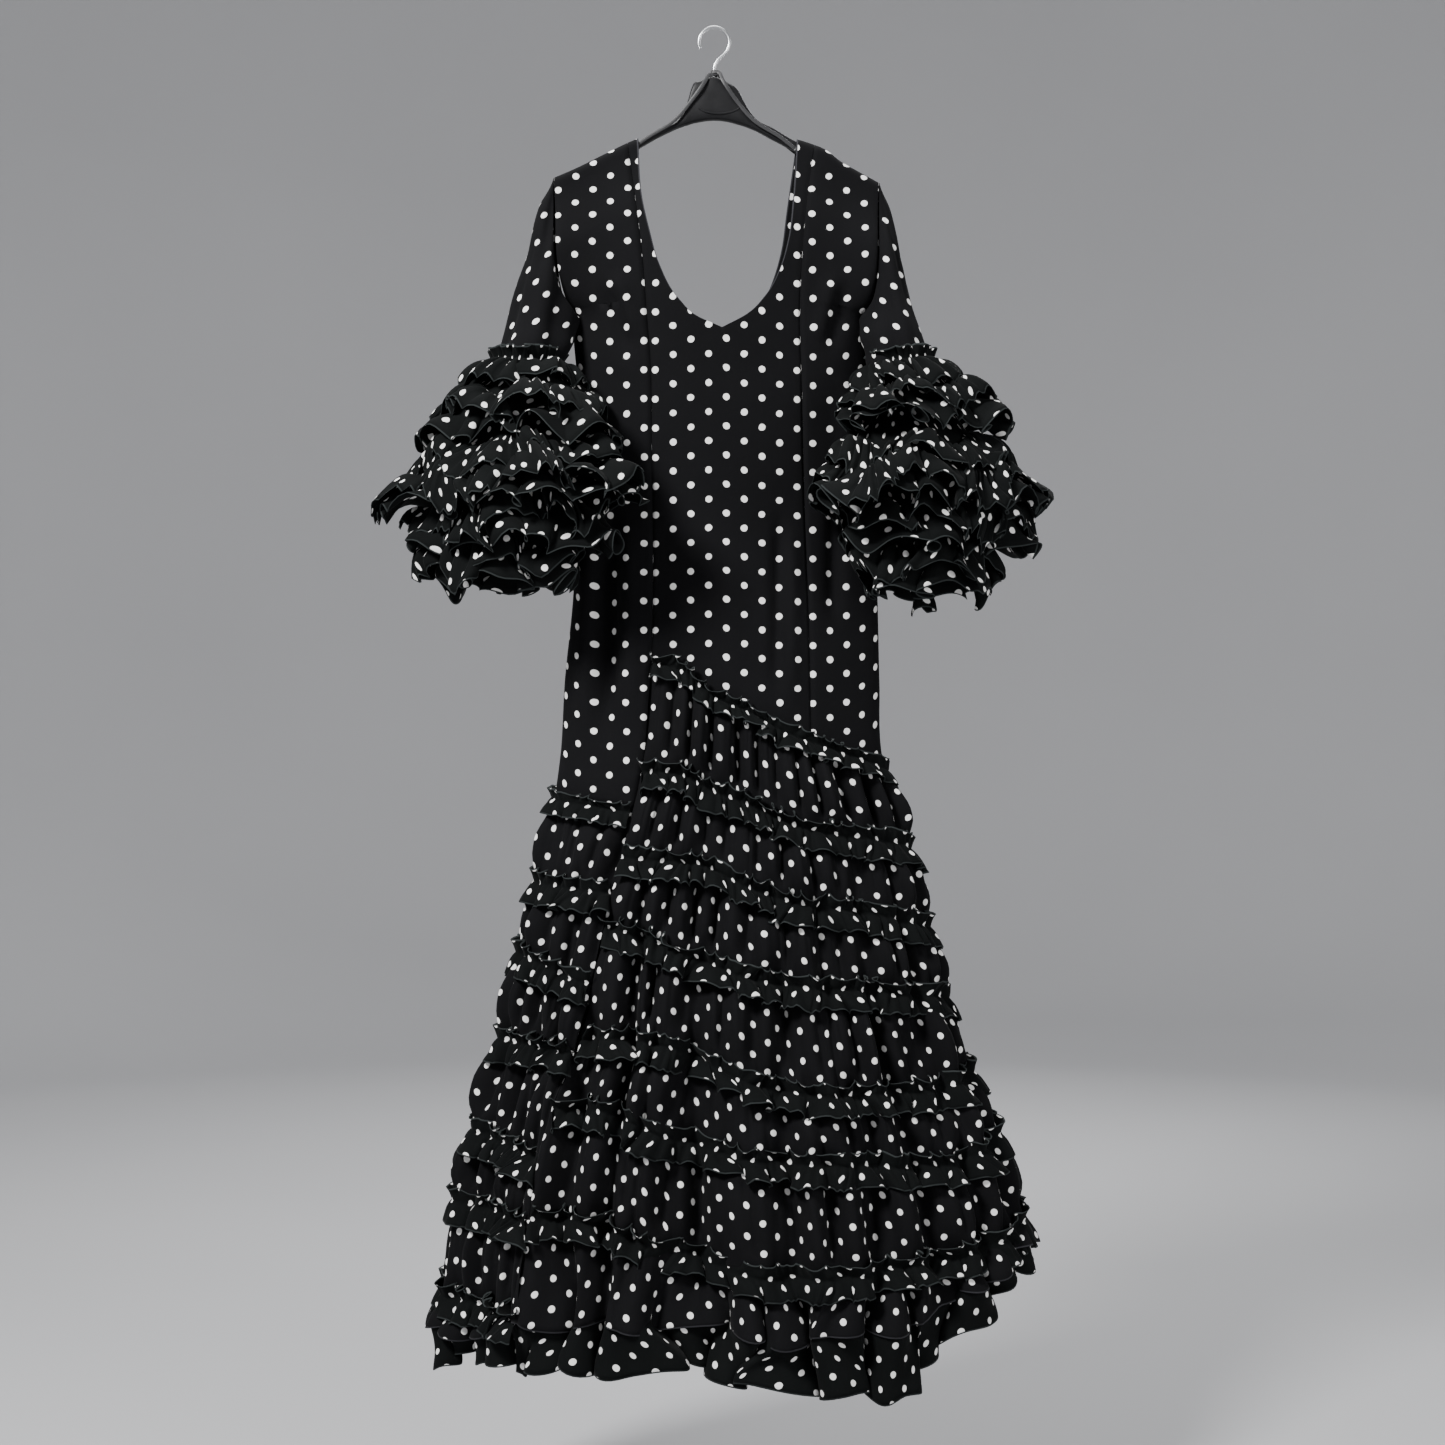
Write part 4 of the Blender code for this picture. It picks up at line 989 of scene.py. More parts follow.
def flounce(length, part, tilts):
    """How far a flounce stands off its cloth and how far it reaches along it, row by row.

    part is 0 in a valley and 1 on a crest, for each row from the line of stitches to the edge.
    """
    rows = part.shape[0] - 1
    middle = 0.5 * (part[1:] + part[:-1])
    t = (np.arange(rows)[:, None] + 0.5) / rows
    (near_low, near_high), (far_low, far_high) = tilts
    near = near_low + (near_high - near_low) * middle
    far = far_low + (far_high - far_low) * middle
    tilt = np.radians(near + (far - near) * t)
    step = np.broadcast_to(length / rows, tilt.shape)
    start = np.zeros((1, part.shape[1]))
    out = np.concatenate([start, np.cumsum(step * np.sin(tilt), axis=0)])
    return out, np.concatenate([start, np.cumsum(step * np.cos(tilt), axis=0)])


def flutes(turn, t, length, aim, seed):
    """Waves of a flounce: crest part, sideways shift and width, tight at its line of stitches."""
    phase = uneven_phase(turn, round(length / aim), seed, 0.75)
    size = uneven(turn, seed + 1, 0.5, 1.2)
    rate = np.maximum(np.abs(np.gradient(phase) / np.gradient(turn)), 1e-6)
    pitch = np.clip(length / rate, 0.5 * aim, 1.8 * aim)
    twist = 0.9 * t * np.sin(uneven_phase(turn, 7, seed + 2))
    tight = 0.5 + 0.5 * petal(uneven_phase(turn, round(length / GATHER_LINE), seed + 3))
    broad = np.clip(size * (0.5 - 0.5 * np.cos(phase + twist)) ** 0.8, 0.0, 1.0)
    merge = ease(t / 0.45)
    crest = tight * (1.0 - merge) + broad * merge
    lean = LEAN * np.sin(uneven_phase(turn, 9, seed + 4))
    return crest, (lean - OVERHANG * size * np.sin(phase + twist)) * pitch * t ** 1.2


def build_frills():
    """The trims on the spiral seams: a tightly gathered line with a waved flounce on each side."""
    names = SEAM_COLUMNS.split()[1:8]
    angle = even_angles(FRILL_COLUMNS)
    turn = 2 * math.pi * girth_part(angle)
    t = np.linspace(0.0, 1.0, FRILL_ROWS + 1)[:, None]
    calm = 1.0 - 0.50 * np.abs(np.sin(np.radians(angle))) ** 4
    for number, name in enumerate(names):
        middle = seam_drop(name, angle)
        length = girth(float(middle.mean()))
        aim = FRILL_PITCH[0] + (FRILL_PITCH[1] - FRILL_PITCH[0]) * number / 6.0
        sewn = CLOTH + SEAM_GAP + (0.0013 if number == 0 else 0.0003)
        crest, slide = flutes(turn, t, length, aim, 200 + 10 * number)
        size = FIRST_FRILL if number == 0 else 1.0
        pucker = 0.5 + 0.5 * petal(uneven_phase(turn, round(length / PUCKER_PITCH), 500 + number))
        pucker = FRILL_PUCKER * pucker * uneven(turn, 520 + number, 0.3, 1.0)
        pucker = pucker * ease(t / 0.3) * (1.0 - 0.7 * t)
        out, reach = flounce(size * FRILL_DOWN, crest * calm, DOWN_TILT)
        rest = tier_stand(number + 1, angle, middle + reach)
        low = (middle + reach, np.maximum(sewn + out, rest + LIES_OFF) + pucker, slide)
        crest, slide = flutes(turn, t, length, 0.75 * aim, 300 + 10 * number)
        out, reach = flounce(size * FRILL_UP, crest * calm, UP_TILT)
        rest = tier_stand(number, angle, middle - reach) if number else np.full(reach.shape, sewn)
        high = (middle - reach, np.maximum(sewn + out, rest + LIES_OFF) + 0.6 * pucker, slide)
        drop, out, slide = (np.concatenate([up[::-1], down[1:]]) for up, down in zip(high, low))
        out[FRILL_ROWS] = sewn
        true = trimmed(angle, np.broadcast_to(middle, drop.shape), 0.5)
        points = skirt_points(true, drop, out, slide)
        uv = strip_uv(points, 0.071 * number)
        edge = arc(points, 0)
        edge = np.minimum(edge, edge[-1:] - edge)
        piece = cloth_grid(f"frill_{number + 1}", points, uv, edge, False, "dotted_frill")
        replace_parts(piece, f"frill_{number + 1}")
        declare(np.ptp(uv[..., 0]), uv[-1, :, 1].max())


def ring(side, row, turn):
    """One level ring: turn 0 is its outer end, 90 the front, 180 the inner end, 270 the back."""
    drop, middle, forward, reach, depth, swing = row
    a = np.radians(turn)
    s = math.radians(swing)
    away = reach * np.cos(a) * math.cos(s) + depth * np.sin(a) * math.sin(s)
    y = reach * np.cos(a) * math.sin(s) - depth * np.sin(a) * math.cos(s) - forward
    return np.stack([side * (middle + away), y, np.full(a.shape, -drop)], axis=-1)


def armhole_ring(side):
    levels = armhole_levels(side)
    front = np.stack([side * side_x(levels, side), levels], axis=-1)
    back = front[1:-1][::-1]
    ring_x = np.concatenate([front[:, 0], back[:, 0]])
    drop = np.concatenate([front[:, 1], back[:, 1]])
    near = cloth_y(front[:, 0], front[:, 1], "front")
    far = cloth_y(back[:, 0], back[:, 1], "back")
    y = np.concatenate([near, far])
    y[0] = 0.0
    y[len(levels) - 1] = 0.0
    gap = SLEEVE_GAP[0] + ease(armhole_part(drop, side)) * (SLEEVE_GAP[1] - SLEEVE_GAP[0])
    return np.stack([ring_x + side * gap, y, -drop], axis=-1)


def build_sleeves():
    turn = np.arange(2 * ARMHOLE_STEPS) * 180.0 / ARMHOLE_STEPS
    for side, name in ((-1, "left"), (1, "right")):
        top = armhole_ring(side)
        rings = SLEEVE_RINGS[side]
        known = np.array([row[0] for row in rings])
        first = ring(side, rings[0], turn)
        rows = [top + (first - top) * part for part in np.linspace(0.0, 1.0, UPPER_ARM_ROWS)]
        for drop in np.linspace(known[0], known[-1], FOREARM_ROWS + 1)[1:]:
            values = [np.interp(drop, known, [row[k] for row in rings]) for k in range(6)]
            rows.append(ring(side, values, turn))
        points = np.roll(np.array(rows), -ARMHOLE_STEPS, axis=1)
        points = sleeve_folds(points, side)
        u, v = sleeve_uv(closed_rows(points), side)
        edge = np.full(points.shape[:2], FAR_FROM_EDGE)
        piece = cloth_grid("sleeve_" + name, points, np.stack([u, v], axis=-1), edge, True, "dotted_crepe")
        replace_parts(piece, "sleeve_" + name)
        declare(np.ptp(u), v.max() + 0.08)
        build_ruffles(side, name)


def sleeve_folds(points, side):
    """Soft lengthwise folds and drag lines of a sleeve, none at the armhole."""
    rows, count = points.shape[:2]
    t = np.linspace(0.0, 1.0, rows)[:, None]
    a = np.linspace(0.0, 2 * math.pi, count, endpoint=False)[None, :]
    amount = 0.0022 * np.cos(4 * a + 2.4 * t + side) + 0.0016 * np.cos(7 * a - 3.1 * t + 2.0 * side)
    amount = amount + 0.0012 * np.cos(2 * a + 16.0 * t + side) * np.sin(math.pi * t)
    amount = amount + CAP_ROUND * np.sin(math.pi * np.clip(t / 0.30, 0.0, 1.0)) * (0.5 - 0.5 * np.cos(a)) ** 2
    middle = points.mean(axis=1, keepdims=True)
    padded = np.concatenate([points[:, -1:], points, points[:, :1]], axis=1)
    wide = np.concatenate([amount[:, -1:], amount, amount[:, :1]], axis=1) * ease(t / 0.12)
    moved = moved_out(padded, wide, middle)[:, 1:-1]
    inward, forward, above, length = UNDERARM_PULL[side]
    part = np.clip((-points[..., 2] - UNDERARM[side] + above) / length, 0.0, 1.0)
    pull = np.sin(math.pi * part) * ease(t / 0.08) * (0.5 + 0.5 * np.cos(a)) ** 3
    moved[..., 0] -= side * inward * pull
    moved[..., 1] -= forward * pull
    return moved


def sleeve_uv(points, side):
    """Flat sizes of a sleeve: round it from its outer line at each level, and down along it."""
    rings = SLEEVE_RINGS[side]
    known = np.array([SHOULDER_TIP[side]] + [row[0] for row in rings])
    places = np.array([(0.186, 0.0)] + [row[1:3] for row in rings])
    rise = np.hypot(np.diff(known), np.linalg.norm(np.diff(places, axis=0), axis=-1))
    drop = -points[..., 2]
    levels = np.linspace(drop.min(), drop.max(), 90)
    cuts = np.array([[np.interp(levels, drop[:, c], points[:, c, axis]) for axis in (0, 1)]
                     for c in range(points.shape[1])])
    round_run = arc(np.moveaxis(cuts, (0, 1, 2), (1, 2, 0)), 1)
    round_run = round_run - round_run[:, ARMHOLE_STEPS:ARMHOLE_STEPS + 1]
    u = np.array([np.interp(drop[:, c], levels, round_run[:, c]) for c in range(points.shape[1])]).T
    return u, np.interp(drop, known, np.append(0.0, np.cumsum(rise)))


def build_ruffles(side, name):
    """The long sleeve frills, and the short ruffles sewn on each of them."""
    turn = np.arange(RUFFLE_POINTS) * 360.0 / RUFFLE_POINTS
    a = np.radians(turn)
    for number, row in enumerate(SLEEVE_RUFFLES[side]):
        values = dict(zip(RUFFLE_COLUMNS.split(), row))
        seed = 400 + 100 * number + (50 if side > 0 else 0)
        sewn = ring(side, SLEEVE_RINGS[side][values["ring"]], turn)
        outward = sewn - sewn.mean(axis=0)
        outward = outward / np.linalg.norm(outward, axis=-1, keepdims=True)
        sewn = sewn + outward * (CLOTH + SEAM_GAP + 0.0006)
        edge_row = tuple(values[key] for key in ("drop", "middle", "forward", "reach", "depth", "turn"))
        rim = ring(side, edge_row, turn)
        form = values["wave"] * np.cos(RUFFLE_WAVES * a + 1.1 * number + 0.6 * np.sin(a))
        away = rim - rim.mean(axis=0)
        away = away / np.linalg.norm(away, axis=-1, keepdims=True)

        def base(t):
            """Place on the long frill's plain form at a part of the way to its edge."""
            points = sewn + (rim - sewn) * t[..., None] + away * (form * t)[..., None]
            points[..., 2] += 0.5 * t * form
            return points

        node = f"sleeve_frill_{name}_{number + 1}"
        reach = np.linalg.norm(rim - sewn, axis=-1)
        free = 1.0 - RUFFLE_FREE / float(reach.mean())
        t = np.linspace(0.0, 1.0, RUFFLE_ROWS + 1)[:, None] + 0.0 * a
        points = ruffle_waves(base(t), np.clip((t - free) / (1.0 - free), 0.0, 1.0), seed)
        make_ruffle(node, clear_of_body(crumpled(points, ease(t / 0.4))), node, False)
        for place, start in enumerate(SHORT_PLACES[number]):
            headed = start == 0.0
            points = short_ruffle(base, start, reach, seed + 20 * (place + 1), headed)
            free = ease((SLEEVE_RINGS[side][0][0] + 0.045 + points[..., 2]) / -0.045)
            make_ruffle(f"{node}_short_{place + 1}", clear_of_body(crumpled(points, free)), None, headed)


def ring_frame(points):
    """Unit ways along, down and out of a closed grid of points."""
    along = np.roll(points, -1, axis=1) - np.roll(points, 1, axis=1)
    down = np.gradient(points, axis=0)
    out = np.cross(along, down)
    from_middle = points - points.mean(axis=1, keepdims=True)
    out = out * np.sign((out * from_middle).sum(axis=-1, keepdims=True).mean())
    return [way / np.linalg.norm(way, axis=-1, keepdims=True) for way in (along, down, out)]


def ring_turn(points):
    """Part of the way round a closed line of points, as an angle, and the line's length."""
    reach = arc(closed_rows(points), 1)[0]
    return 2 * math.pi * reach[:-1] / reach[-1], float(reach[-1])


def ruffle_waves(points, free, seed):
    """The waves of a long frill, in the part of it that hangs free."""
    along, down, out = ring_frame(points)
    turn, length = ring_turn(points[-1:])
    phase = uneven_phase(turn, round(length / SHORT_PITCH), seed, 0.75)
    size = uneven(turn, seed + 1, 0.5, 1.1)
    lean = LEAN * np.sin(uneven_phase(turn, 7, seed + 2))
    stand = RUFFLE_SWAY * size * (-np.cos(phase) - 0.2) * ease(free)
    aside = (lean - OVERHANG * size * np.sin(phase)) * SHORT_PITCH * free
    lift = -0.005 * size * np.cos(phase) * free ** 2
    return points + out * stand[..., None] + along * aside[..., None] - down * lift[..., None]


def short_ruffle(base, start, reach, seed, headed):
    """A short, full ruffle sewn on a long frill: crests swing out and up, valleys lie on it."""
    end = start + SHORT_LENGTH / float(reach.mean())
    t = np.linspace(0.0, 1.0, SHORT_ROWS + 1)[:, None]
    turn, length = ring_turn(base(np.full((1, RUFFLE_POINTS), min(end, 1.0))))
    wobble = 0.075 * np.sin(uneven_phase(turn, 5, seed + 6)) * (0.0 if headed else 1.0)
    spread_t = start + wobble + (end - start) * t
    plain = base(spread_t)
    along, down, out = ring_frame(plain)
    crest, aside = flutes(turn, t, length, SHORT_PITCH, seed)
    size = SHORT_LENGTH * uneven(turn, seed + 7, 0.70, 1.10)
    stand, gone = flounce(size, crest, SHORT_TILT)
    moved = plain[:1] + down[:1] * gone[..., None] + out[:1] * (0.003 + stand)[..., None]
    moved = moved + along * aside[..., None]
    moved[..., 2] -= 0.010 * (t ** 2) * (1.0 - 0.5 * crest)
    if not headed:
        return moved
    t = np.linspace(0.0, 1.0, HEAD_ROWS + 1)[:, None]
    crest, aside = flutes(turn, t, length, 0.55 * SHORT_PITCH, seed + 10)
    stand, gone = flounce(HEAD_HEIGHT, crest, UP_TILT)
    head = plain[:1] + out[:1] * (0.003 + stand)[..., None] + along[:1] * (0.6 * aside)[..., None]
    head = head - down[:1] * (0.5 * gone)[..., None]
    head[..., 2] += 0.6 * gone
    return np.concatenate([head[:0:-1], moved])


def crumpled(points, free):
    """Pushes the frills about together in soft puffs, so that their rows don't lie level."""
    x, y, z = np.moveaxis(points, -1, 0)
    across, down, deep = PUFF_WAVES
    rise = np.sin(across * x + 1.3) * np.cos(deep * y - 0.7) + 0.7 * np.sin(1.7 * across * x + 31.0 * z)
    shift = np.sin(down * z + 0.8 * across * x) + 0.6 * np.cos(1.9 * down * z - 40.0 * x + 2.0)
    moved = points.copy()
    moved[..., 2] += PUFF[0] * rise * free
    moved[..., 0] += PUFF[1] * shift * free
    return moved


def clear_of_body(points):
    """Keeps a sleeve frill in front of the body's front sheet."""
    x = points[..., 0]
    drop = -points[..., 2]
    width = np.where(x < 0.0, side_x(drop, -1), side_x(drop, 1))
    front = cloth_y(x, drop, "front") - BODY_CLEAR
    inside = np.abs(x) < width
    points[..., 1] = np.where(inside, np.minimum(points[..., 1], front), points[..., 1])
    return points


def make_ruffle(name, points, node, headed):
    uv = strip_uv(closed_rows(points), 0.0)
    run = uv[:, :-1, 1]
    edge = np.minimum(run, run[-1:] - run) if headed else run[-1:] - run
    piece = cloth_grid(name, points, uv, edge, True, "dotted_frill")
    if node:
        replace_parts(piece, node)
    declare(np.ptp(uv[..., 0]), uv[-1, :, 1].max())


def shape_object(name, mesh, finish):
    """A hard piece from a mesh, in its finish."""
    mesh.materials.append(MATERIALS[finish])
    piece = bpy.data.objects.new(name, mesh)
    bpy.context.scene.collection.objects.link(piece)
    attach(piece, "root")
    return piece


def build_hanger():
    """Arms and cap as one moulding, lofted through rounded cuts, with a raised arc on the cap."""
    values = columns(HANGER_COLUMNS, HANGER)
    x = np.linspace(values["x"][0], values["x"][-1], HANGER_CUTS)
    top = smooth(x, values["x"], values["top"])[:, None]
    bottom = smooth(x, values["x"], values["bottom"])[:, None]
    depth = smooth(x, values["x"], values["depth"])[:, None]
    turn = np.linspace(0.0, 2 * math.pi, HANGER_SIDES, endpoint=False)[None, :]
    round_y = depth * np.sign(np.cos(turn)) * np.abs(np.cos(turn)) ** 0.5
    round_z = 0.5 * (bottom - top) * np.sign(np.sin(turn)) * np.abs(np.sin(turn)) ** 0.5
    points = np.stack([x[:, None] + 0.0 * round_y, round_y, round_z - 0.5 * (top + bottom)], axis=-1)
    faces, _, _ = grid_faces(HANGER_CUTS, HANGER_SIDES, True)
    faces = [tuple(face[::-1]) for face in faces.tolist()]
    index = np.arange(points.shape[0] * HANGER_SIDES).reshape(-1, HANGER_SIDES)
    faces += [tuple(index[0][::-1].tolist()), tuple(index[-1].tolist())]
    mesh = bpy.data.meshes.new("hanger_moulding")
    mesh.from_pydata(points.reshape(-1, 3).tolist(), [], faces)
    mesh.shade_smooth()
    mesh.set_sharp_from_angle(angle=math.radians(50))
    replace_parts(shape_object("hanger_moulding", mesh, "hanger_plastic"), "hanger_body")

    angle = np.radians(np.linspace(205.0, 335.0, 25))
    rib_x = 0.0060 + 0.0260 * np.cos(angle)
    rib_z = -0.0910 + 0.0110 * np.sin(angle)
    rib = np.stack([rib_x, -np.interp(rib_x, values["x"], values["depth"]), rib_z], axis=-1)
    rib_mesh = tube_mesh("hanger_rib", rib, 0.0012, 0.0006, (0.0, 0.0, 1.0), 10)
    shape_object("hanger_rib", rib_mesh, "hanger_plastic")


def tube_mesh(name, path, half_wide, half_thick, wide_way, sides):
    """A closed tube of oval cut along a path, turned as little as the path allows."""
    path = np.array(path, dtype=float)
    along = np.gradient(path, axis=0)
    along = along / np.linalg.norm(along, axis=-1, keepdims=True)
    wide = np.array(wide_way, dtype=float)
    turn = np.linspace(0.0, 2 * math.pi, sides, endpoint=False)
    rings = []
    for place, way in zip(path, along):
        wide = wide - way * np.dot(wide, way)
        wide = wide / np.linalg.norm(wide)
        thick = np.cross(way, wide)
        rings.append(place + half_wide * np.cos(turn)[:, None] * wide
                     + half_thick * np.sin(turn)[:, None] * thick)
    points = np.array(rings)
    faces, _, _ = grid_faces(len(path), sides, True)
    faces = [tuple(face[::-1]) for face in faces.tolist()]
    index = np.arange(len(path) * sides).reshape(-1, sides)
    faces += [tuple(index[0].tolist()), tuple(index[-1][::-1].tolist())]
    mesh = bpy.data.meshes.new(name)
    mesh.from_pydata(points.reshape(-1, 3).tolist(), [], faces)
    mesh.shade_smooth()
    return mesh


def smooth_path(points, steps):
    """A smooth line through a few points, at even steps."""
    points = np.array(points, dtype=float)
    known = np.append(0.0, np.cumsum(np.linalg.norm(np.diff(points, axis=0), axis=-1)))
    at = np.linspace(0.0, known[-1], steps)
    return np.stack([smooth(at, known, points[:, axis]) for axis in range(3)], axis=-1)


def build_hook():
    """A wire that rises from the cap, bends aside and goes over in most of a circle."""
    middle = WIRE_RADIUS - HOOK_RADIUS
    path = [(0.0, 0.0, -HOOK_FOOT), (0.0, 0.0, -0.0500), (0.0006, 0.0, -0.0440), (0.0040, 0.0, -0.0375)]
    for degrees in range(-48, 205, 14):
        a = math.radians(degrees)
        path.append((HOOK_RADIUS * math.cos(a), 0.0, middle + HOOK_RADIUS * math.sin(a)))
    mesh = tube_mesh("hook_rod", smooth_path(path, 110), WIRE_RADIUS, WIRE_RADIUS, (0.0, 1.0, 0.0), 20)
    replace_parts(shape_object("hook_rod", mesh, "hook_wire"), "hanger_hook")


def build_loops():
    """Two hanging tapes, each from inside a shoulder, round the foot of the hook and back."""
    right_rise = 0.0026
    for side, name, rise in ((-1, "left", 0.0), (1, "right", right_rise)):
        near = [
            (0.0965, 0.0080, 0.1430 if side < 0 else 0.1445),
            (0.0800, 0.0086, 0.1315),
            (0.0450, 0.0098, 0.1090),
            (0.0300, 0.0102, 0.0920),
            (0.0100, 0.0102, 0.0640 - rise * 0.5),
            (0.0050, 0.0052, 0.0548 - rise),
        ]
        front = [(side * x, -y, -drop) for x, y, drop in near]
        back = [(side * x, y, -drop) for x, y, drop in reversed(near)]
        turn = [(-side * 0.0022, -0.0036, -0.0540 + rise), (-side * 0.0042, 0.0, -0.0538 + rise),
                (-side * 0.0022, 0.0036, -0.0540 + rise)]
        path = smooth_path(front + turn + back, 160)
        mesh = tube_mesh("loop_tape_" + name, path, TAPE_WIDE, TAPE_THICK, (0.0, 0.0, 1.0), 12)
        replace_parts(shape_object("loop_tape_" + name, mesh, "hanging_tape"), "hanging_loop_" + name)


class Shader:
    """Builds one material's nodes, each call adding a node and returning its output."""

    def __init__(self, name):
        self.material = bpy.data.materials.new(name)
        self.material.use_nodes = True
        self.tree = self.material.node_tree
        self.surface = self.tree.nodes["Principled BSDF"]

    def put(self, target, value):
        if isinstance(value, bpy.types.NodeSocket):
            self.tree.links.new(value, target)
        else:
            target.default_value = value

    def node(self, kind, inputs, output=0, **settings):
        made = self.tree.nodes.new(kind)
        for key, value in settings.items():
            setattr(made, key, value)
        for key, value in inputs.items():
            self.put(made.inputs[key], value)
        return made.outputs[output]

    def math(self, operation, a, b=0.0):
        return self.node("ShaderNodeMath", {0: a, 1: b}, operation=operation)

    def vector(self, operation, a, b=(0.0, 0.0, 0.0), output=0):
        return self.node("ShaderNodeVectorMath", {0: a, 1: b}, output, operation=operation)

    def mix(self, part, a, b):
        made = self.tree.nodes.new("ShaderNodeMix")
        made.data_type = "RGBA"
        self.put(made.inputs["Factor"], part)
        self.put(made.inputs["A"], a)
        self.put(made.inputs["B"], b)
        return made.outputs["Result"]

    def band(self, value, low, high, start=1.0, end=0.0):
        """A soft step from start to end between two values."""
        return self.node("ShaderNodeMapRange", {"Value": value, "From Min": low, "From Max": high,
                                                "To Min": start, "To Max": end},
                         interpolation_type="SMOOTHSTEP")

    def noise(self, place, scale, detail=2.0, roughness=0.5):
        return self.node("ShaderNodeTexNoise", {"Vector": place, "Scale": scale, "Detail": detail,
                                                "Roughness": roughness})

    def bump(self, height, distance, strength, base=None):
        inputs = {"Height": height, "Distance": distance, "Strength": strength}
        if base is not None:
            inputs["Normal"] = base
        return self.node("ShaderNodeBump", inputs)

    def finish(self, **inputs):
        for key, value in inputs.items():
            self.put(self.surface.inputs[key.replace("_", " ")], value)
        return self.material


def dots(made, flat):
    """How much of a place is dot: two staggered lattices in the flat cloth's own sizes."""
    wobble = made.node("ShaderNodeTexNoise", {"Vector": flat, "Scale": DOT_WOBBLE_SCALE}, "Color")
    slip = made.vector("SCALE", made.vector("SUBTRACT", wobble, (0.5, 0.5, 0.5)))
    slip.node.inputs["Scale"].default_value = DOT_WOBBLE
    place = made.vector("ADD", flat, slip)
    step = (DOT_STEP[0], DOT_STEP[1], 1.0)
    nearest = None
    for shift in ((0.0, 0.0, 0.0), (DOT_STEP[0] / 2, DOT_STEP[1] / 2, 0.0)):
        cell = made.vector("FRACTION", made.vector("DIVIDE", made.vector("ADD", place, shift), step))
        from_middle = made.vector("SUBTRACT", cell, (0.5, 0.5, 0.0))
        reach = made.vector("MULTIPLY", from_middle, (step[0], step[1], 0.0))
        away = made.vector("LENGTH", reach, output="Value")
        nearest = away if nearest is None else made.math("MINIMUM", nearest, away)
    return made.band(nearest, DOT_RADIUS - DOT_SOFT, DOT_RADIUS + DOT_SOFT)


def dotted_cloth(name, dark, sheen):
    """Matt crepe with off-white dots, a grained face and a stitched edge painted lighter as sheen."""
    made = Shader(name)
    flat = made.node("ShaderNodeUVMap", {}, uv_map="flat_cloth")
    place = made.node("ShaderNodeTexCoord", {}, "Object")
    edge = made.node("ShaderNodeAttribute", {}, "Fac", attribute_name="edge")
    grain = made.noise(flat, 850.0, 3.0, 0.65)
    drift = made.noise(place, 7.0, 3.0)
    light = tuple(min(1.0, 1.9 * c) for c in dark)
    base = made.mix(drift, (*dark, 1.0), (*light, 1.0))
    # Along the free edges the colour is painted sheen: a band lighter than the cloth, where no dots show.
    hem = made.band(edge, 0.0012, 0.0020)
    edge_sheen = tuple(12.0 * c for c in dark)
    base = made.mix(made.math("MULTIPLY", hem, 0.75), base, (*edge_sheen, 1.0))
    dot = dots(made, flat)
    white = made.mix(drift, DOT_COLOUR[0], DOT_COLOUR[1])
    shown = made.math("MULTIPLY", dot, made.math("SUBTRACT", 1.0, hem))
    colour = made.mix(shown, base, white)
    rough = made.node("ShaderNodeMapRange", {"Value": grain, "To Min": 0.78, "To Max": 0.95})
    height = made.math("ADD", grain, made.math("MULTIPLY", shown, 0.35))
    fine = made.bump(height, 0.00022, 0.55)
    soft = made.bump(made.noise(place, 38.0, 2.0), 0.0016, 0.35, fine)
    made.surface.inputs["Sheen Weight"].default_value = sheen
    made.surface.inputs["Sheen Roughness"].default_value = 0.45
    made.surface.inputs["Specular IOR Level"].default_value = 0.05
    return made.finish(Base_Color=colour, Roughness=rough, Normal=soft)


def moulded_plastic(name):
    """Black plastic with a fine satin grain and faint scuffs."""
    made = Shader(name)
    place = made.node("ShaderNodeTexCoord", {}, "Object")
    scuff = made.noise(place, 60.0, 4.0, 0.7)
    colour = made.mix(scuff, (0.0040, 0.0040, 0.0045, 1.0), (0.0090, 0.0090, 0.0100, 1.0))
    rough = made.node("ShaderNodeMapRange", {"Value": scuff, "To Min": 0.34, "To Max": 0.56})
    grain = made.bump(made.noise(place, 1400.0, 2.0), 0.00008, 0.4)
    made.surface.inputs["Specular IOR Level"].default_value = 0.20
    return made.finish(Base_Color=colour, Roughness=rough, Normal=grain)


def drawn_steel(name):
    """Steel wire with fine lines along it."""
    made = Shader(name)
    place = made.node("ShaderNodeTexCoord", {}, "Object")
    lines = made.noise(made.vector("MULTIPLY", place, (900.0, 900.0, 60.0)), 1.0, 3.0)
    colour = made.mix(lines, (0.46, 0.47, 0.48, 1.0), (0.66, 0.67, 0.68, 1.0))
    rough = made.node("ShaderNodeMapRange", {"Value": lines, "To Min": 0.22, "To Max": 0.42})
    made.surface.inputs["Metallic"].default_value = 1.0
    return made.finish(Base_Color=colour, Roughness=rough, Normal=made.bump(lines, 0.00005, 0.3))


def satin_tape(name):
    """Narrow woven tape with ribs across it."""
    made = Shader(name)
    place = made.node("ShaderNodeTexCoord", {}, "Object")
    ribs = made.node("ShaderNodeTexWave", {"Vector": place, "Scale": 260.0, "Distortion": 0.6}, "Fac",
                     bands_direction="DIAGONAL")
    colour = made.mix(ribs, (0.007, 0.007, 0.008, 1.0), (0.016, 0.016, 0.018, 1.0))
    made.surface.inputs["Sheen Weight"].default_value = 0.2
    return made.finish(Base_Color=colour, Roughness=0.5, Normal=made.bump(ribs, 0.0001, 0.5))


def plain_ground(name):
    made = Shader(name)
    place = made.node("ShaderNodeTexCoord", {}, "Object")
    colour = made.mix(made.noise(place, 1.2, 2.0), (0.36, 0.36, 0.37, 1.0), (0.39, 0.39, 0.40, 1.0))
    return made.finish(Base_Color=colour, Roughness=0.9)


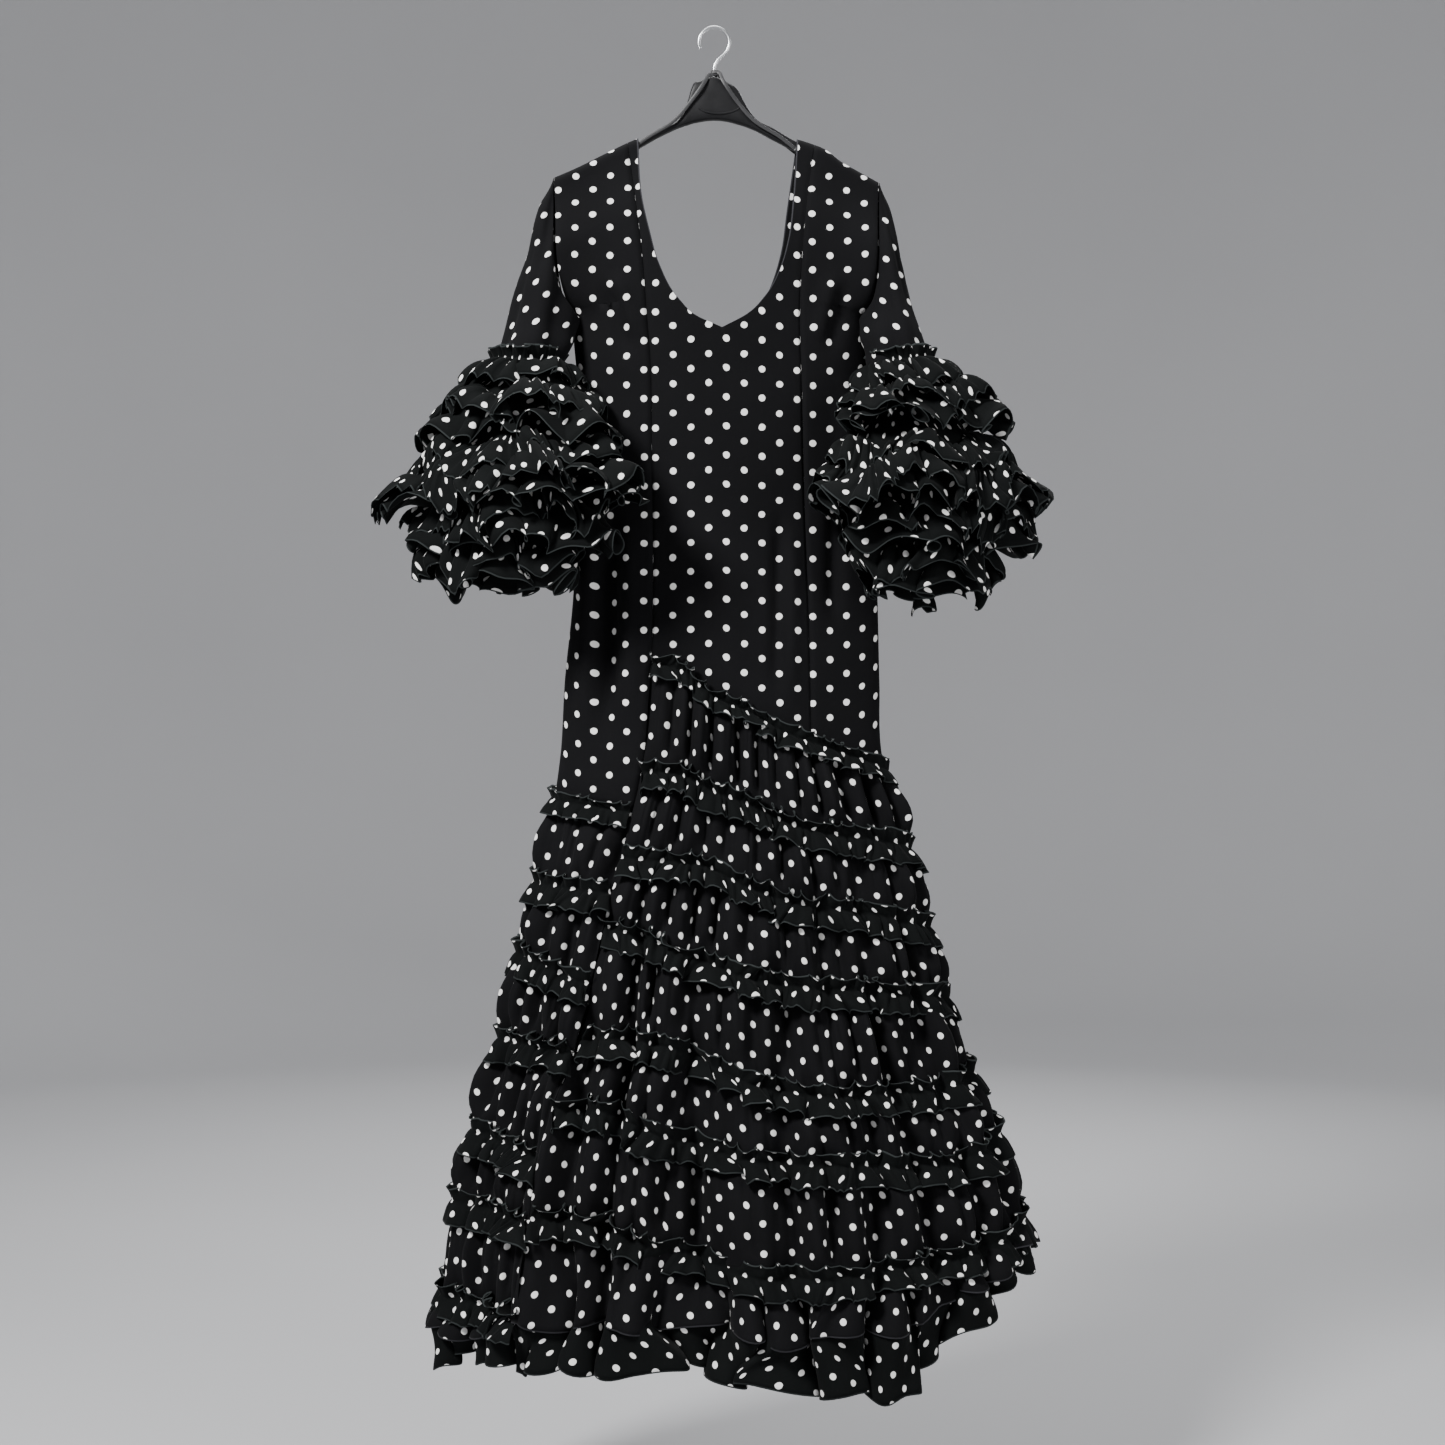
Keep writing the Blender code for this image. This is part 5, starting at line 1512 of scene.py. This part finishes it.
def build_stage():
    """A pale floor that turns up into a wall all round."""
    turn = np.linspace(0.0, 2 * math.pi, 96, endpoint=False)[None, :]
    bend = np.radians(np.linspace(0.0, 90.0, 13))
    reach = np.concatenate([[0.02, 2.0, 3.6], 3.6 + 1.2 * np.sin(bend[1:]), [4.8]])[:, None]
    rise = np.concatenate([[0.0, 0.0, 0.0], 1.2 * (1.0 - np.cos(bend[1:])), [3.65]])[:, None]
    points = np.stack([reach * np.cos(turn), reach * np.sin(turn), rise - FLOOR_DROP + 0.0 * turn], axis=-1)
    faces, _, _ = grid_faces(points.shape[0], 96, True)
    centre = [tuple(range(96))]
    mesh = bpy.data.meshes.new("pale_ground")
    mesh.from_pydata(points.reshape(-1, 3).tolist(), [], [tuple(f) for f in faces.tolist()] + centre)
    mesh.shade_smooth()
    mesh.materials.append(plain_ground("pale_ground"))
    ground = bpy.data.objects.new("pale_ground", mesh)
    bpy.context.scene.collection.objects.link(ground)


def add_light(name, place, target, size, power):
    data = bpy.data.lights.new(name, "AREA")
    data.shape = "DISK"
    data.size = size
    data.energy = power
    lamp = bpy.data.objects.new(name, data)
    lamp.location = place
    way = np.array(target) - np.array(place)
    tilt = math.atan2(math.hypot(way[0], way[1]), -way[2])
    heading = math.atan2(way[1], way[0]) - math.pi / 2
    lamp.rotation_euler = (tilt, 0.0, heading)
    bpy.context.scene.collection.objects.link(lamp)


def build_lights():
    middle = (0.0, 0.0, -0.8)
    add_light("key", (-1.8, -2.2, 1.4), middle, 0.9, 250.0)
    add_light("fill", (2.4, -2.2, -0.2), middle, 1.8, 55.0)
    add_light("top", (0.0, 0.6, 1.9), middle, 1.6, 60.0)
    add_light("back", (0.6, 2.8, 0.6), middle, 1.6, 60.0)
    world = bpy.data.worlds.new("studio")
    bpy.context.scene.world = world
    world.use_nodes = True
    world.node_tree.nodes["Background"].inputs["Color"].default_value = (0.80, 0.82, 0.85, 1.0)
    world.node_tree.nodes["Background"].inputs["Strength"].default_value = 0.45


def build_camera():
    """Level camera, square to the dress, far enough to take in the photograph's frame."""
    data = bpy.data.cameras.new("front_view")
    data.sensor_width = 1000 * SENSOR
    data.lens = 1000 * SENSOR * abs(CAMERA_AT[1]) / FRAME_WIDTH
    camera = bpy.data.objects.new("front_view", data)
    camera.location = CAMERA_AT
    camera.rotation_euler = (math.radians(90.0), 0.0, 0.0)
    bpy.context.scene.collection.objects.link(camera)
    bpy.context.scene.camera = camera


build_camera()
MATERIALS = {
    "dotted_crepe": dotted_cloth("dotted_crepe", (0.0034, 0.0034, 0.0038), 0.016),
    # The frills get the same crepe made darker and a little greener: painted shade for the skirt frills,
    # sleeve frills and under frill.
    "dotted_frill": dotted_cloth("dotted_frill", (0.0027, 0.0031, 0.0031), 0.014),
    "hanging_tape": satin_tape("hanging_tape"),
    "hanger_plastic": moulded_plastic("hanger_plastic"),
    "hook_wire": drawn_steel("hook_wire"),
}
build_bodice()
build_sleeves()
build_tiers()
build_frills()
build_hanger()
build_hook()
build_loops()
build_stage()
build_lights()
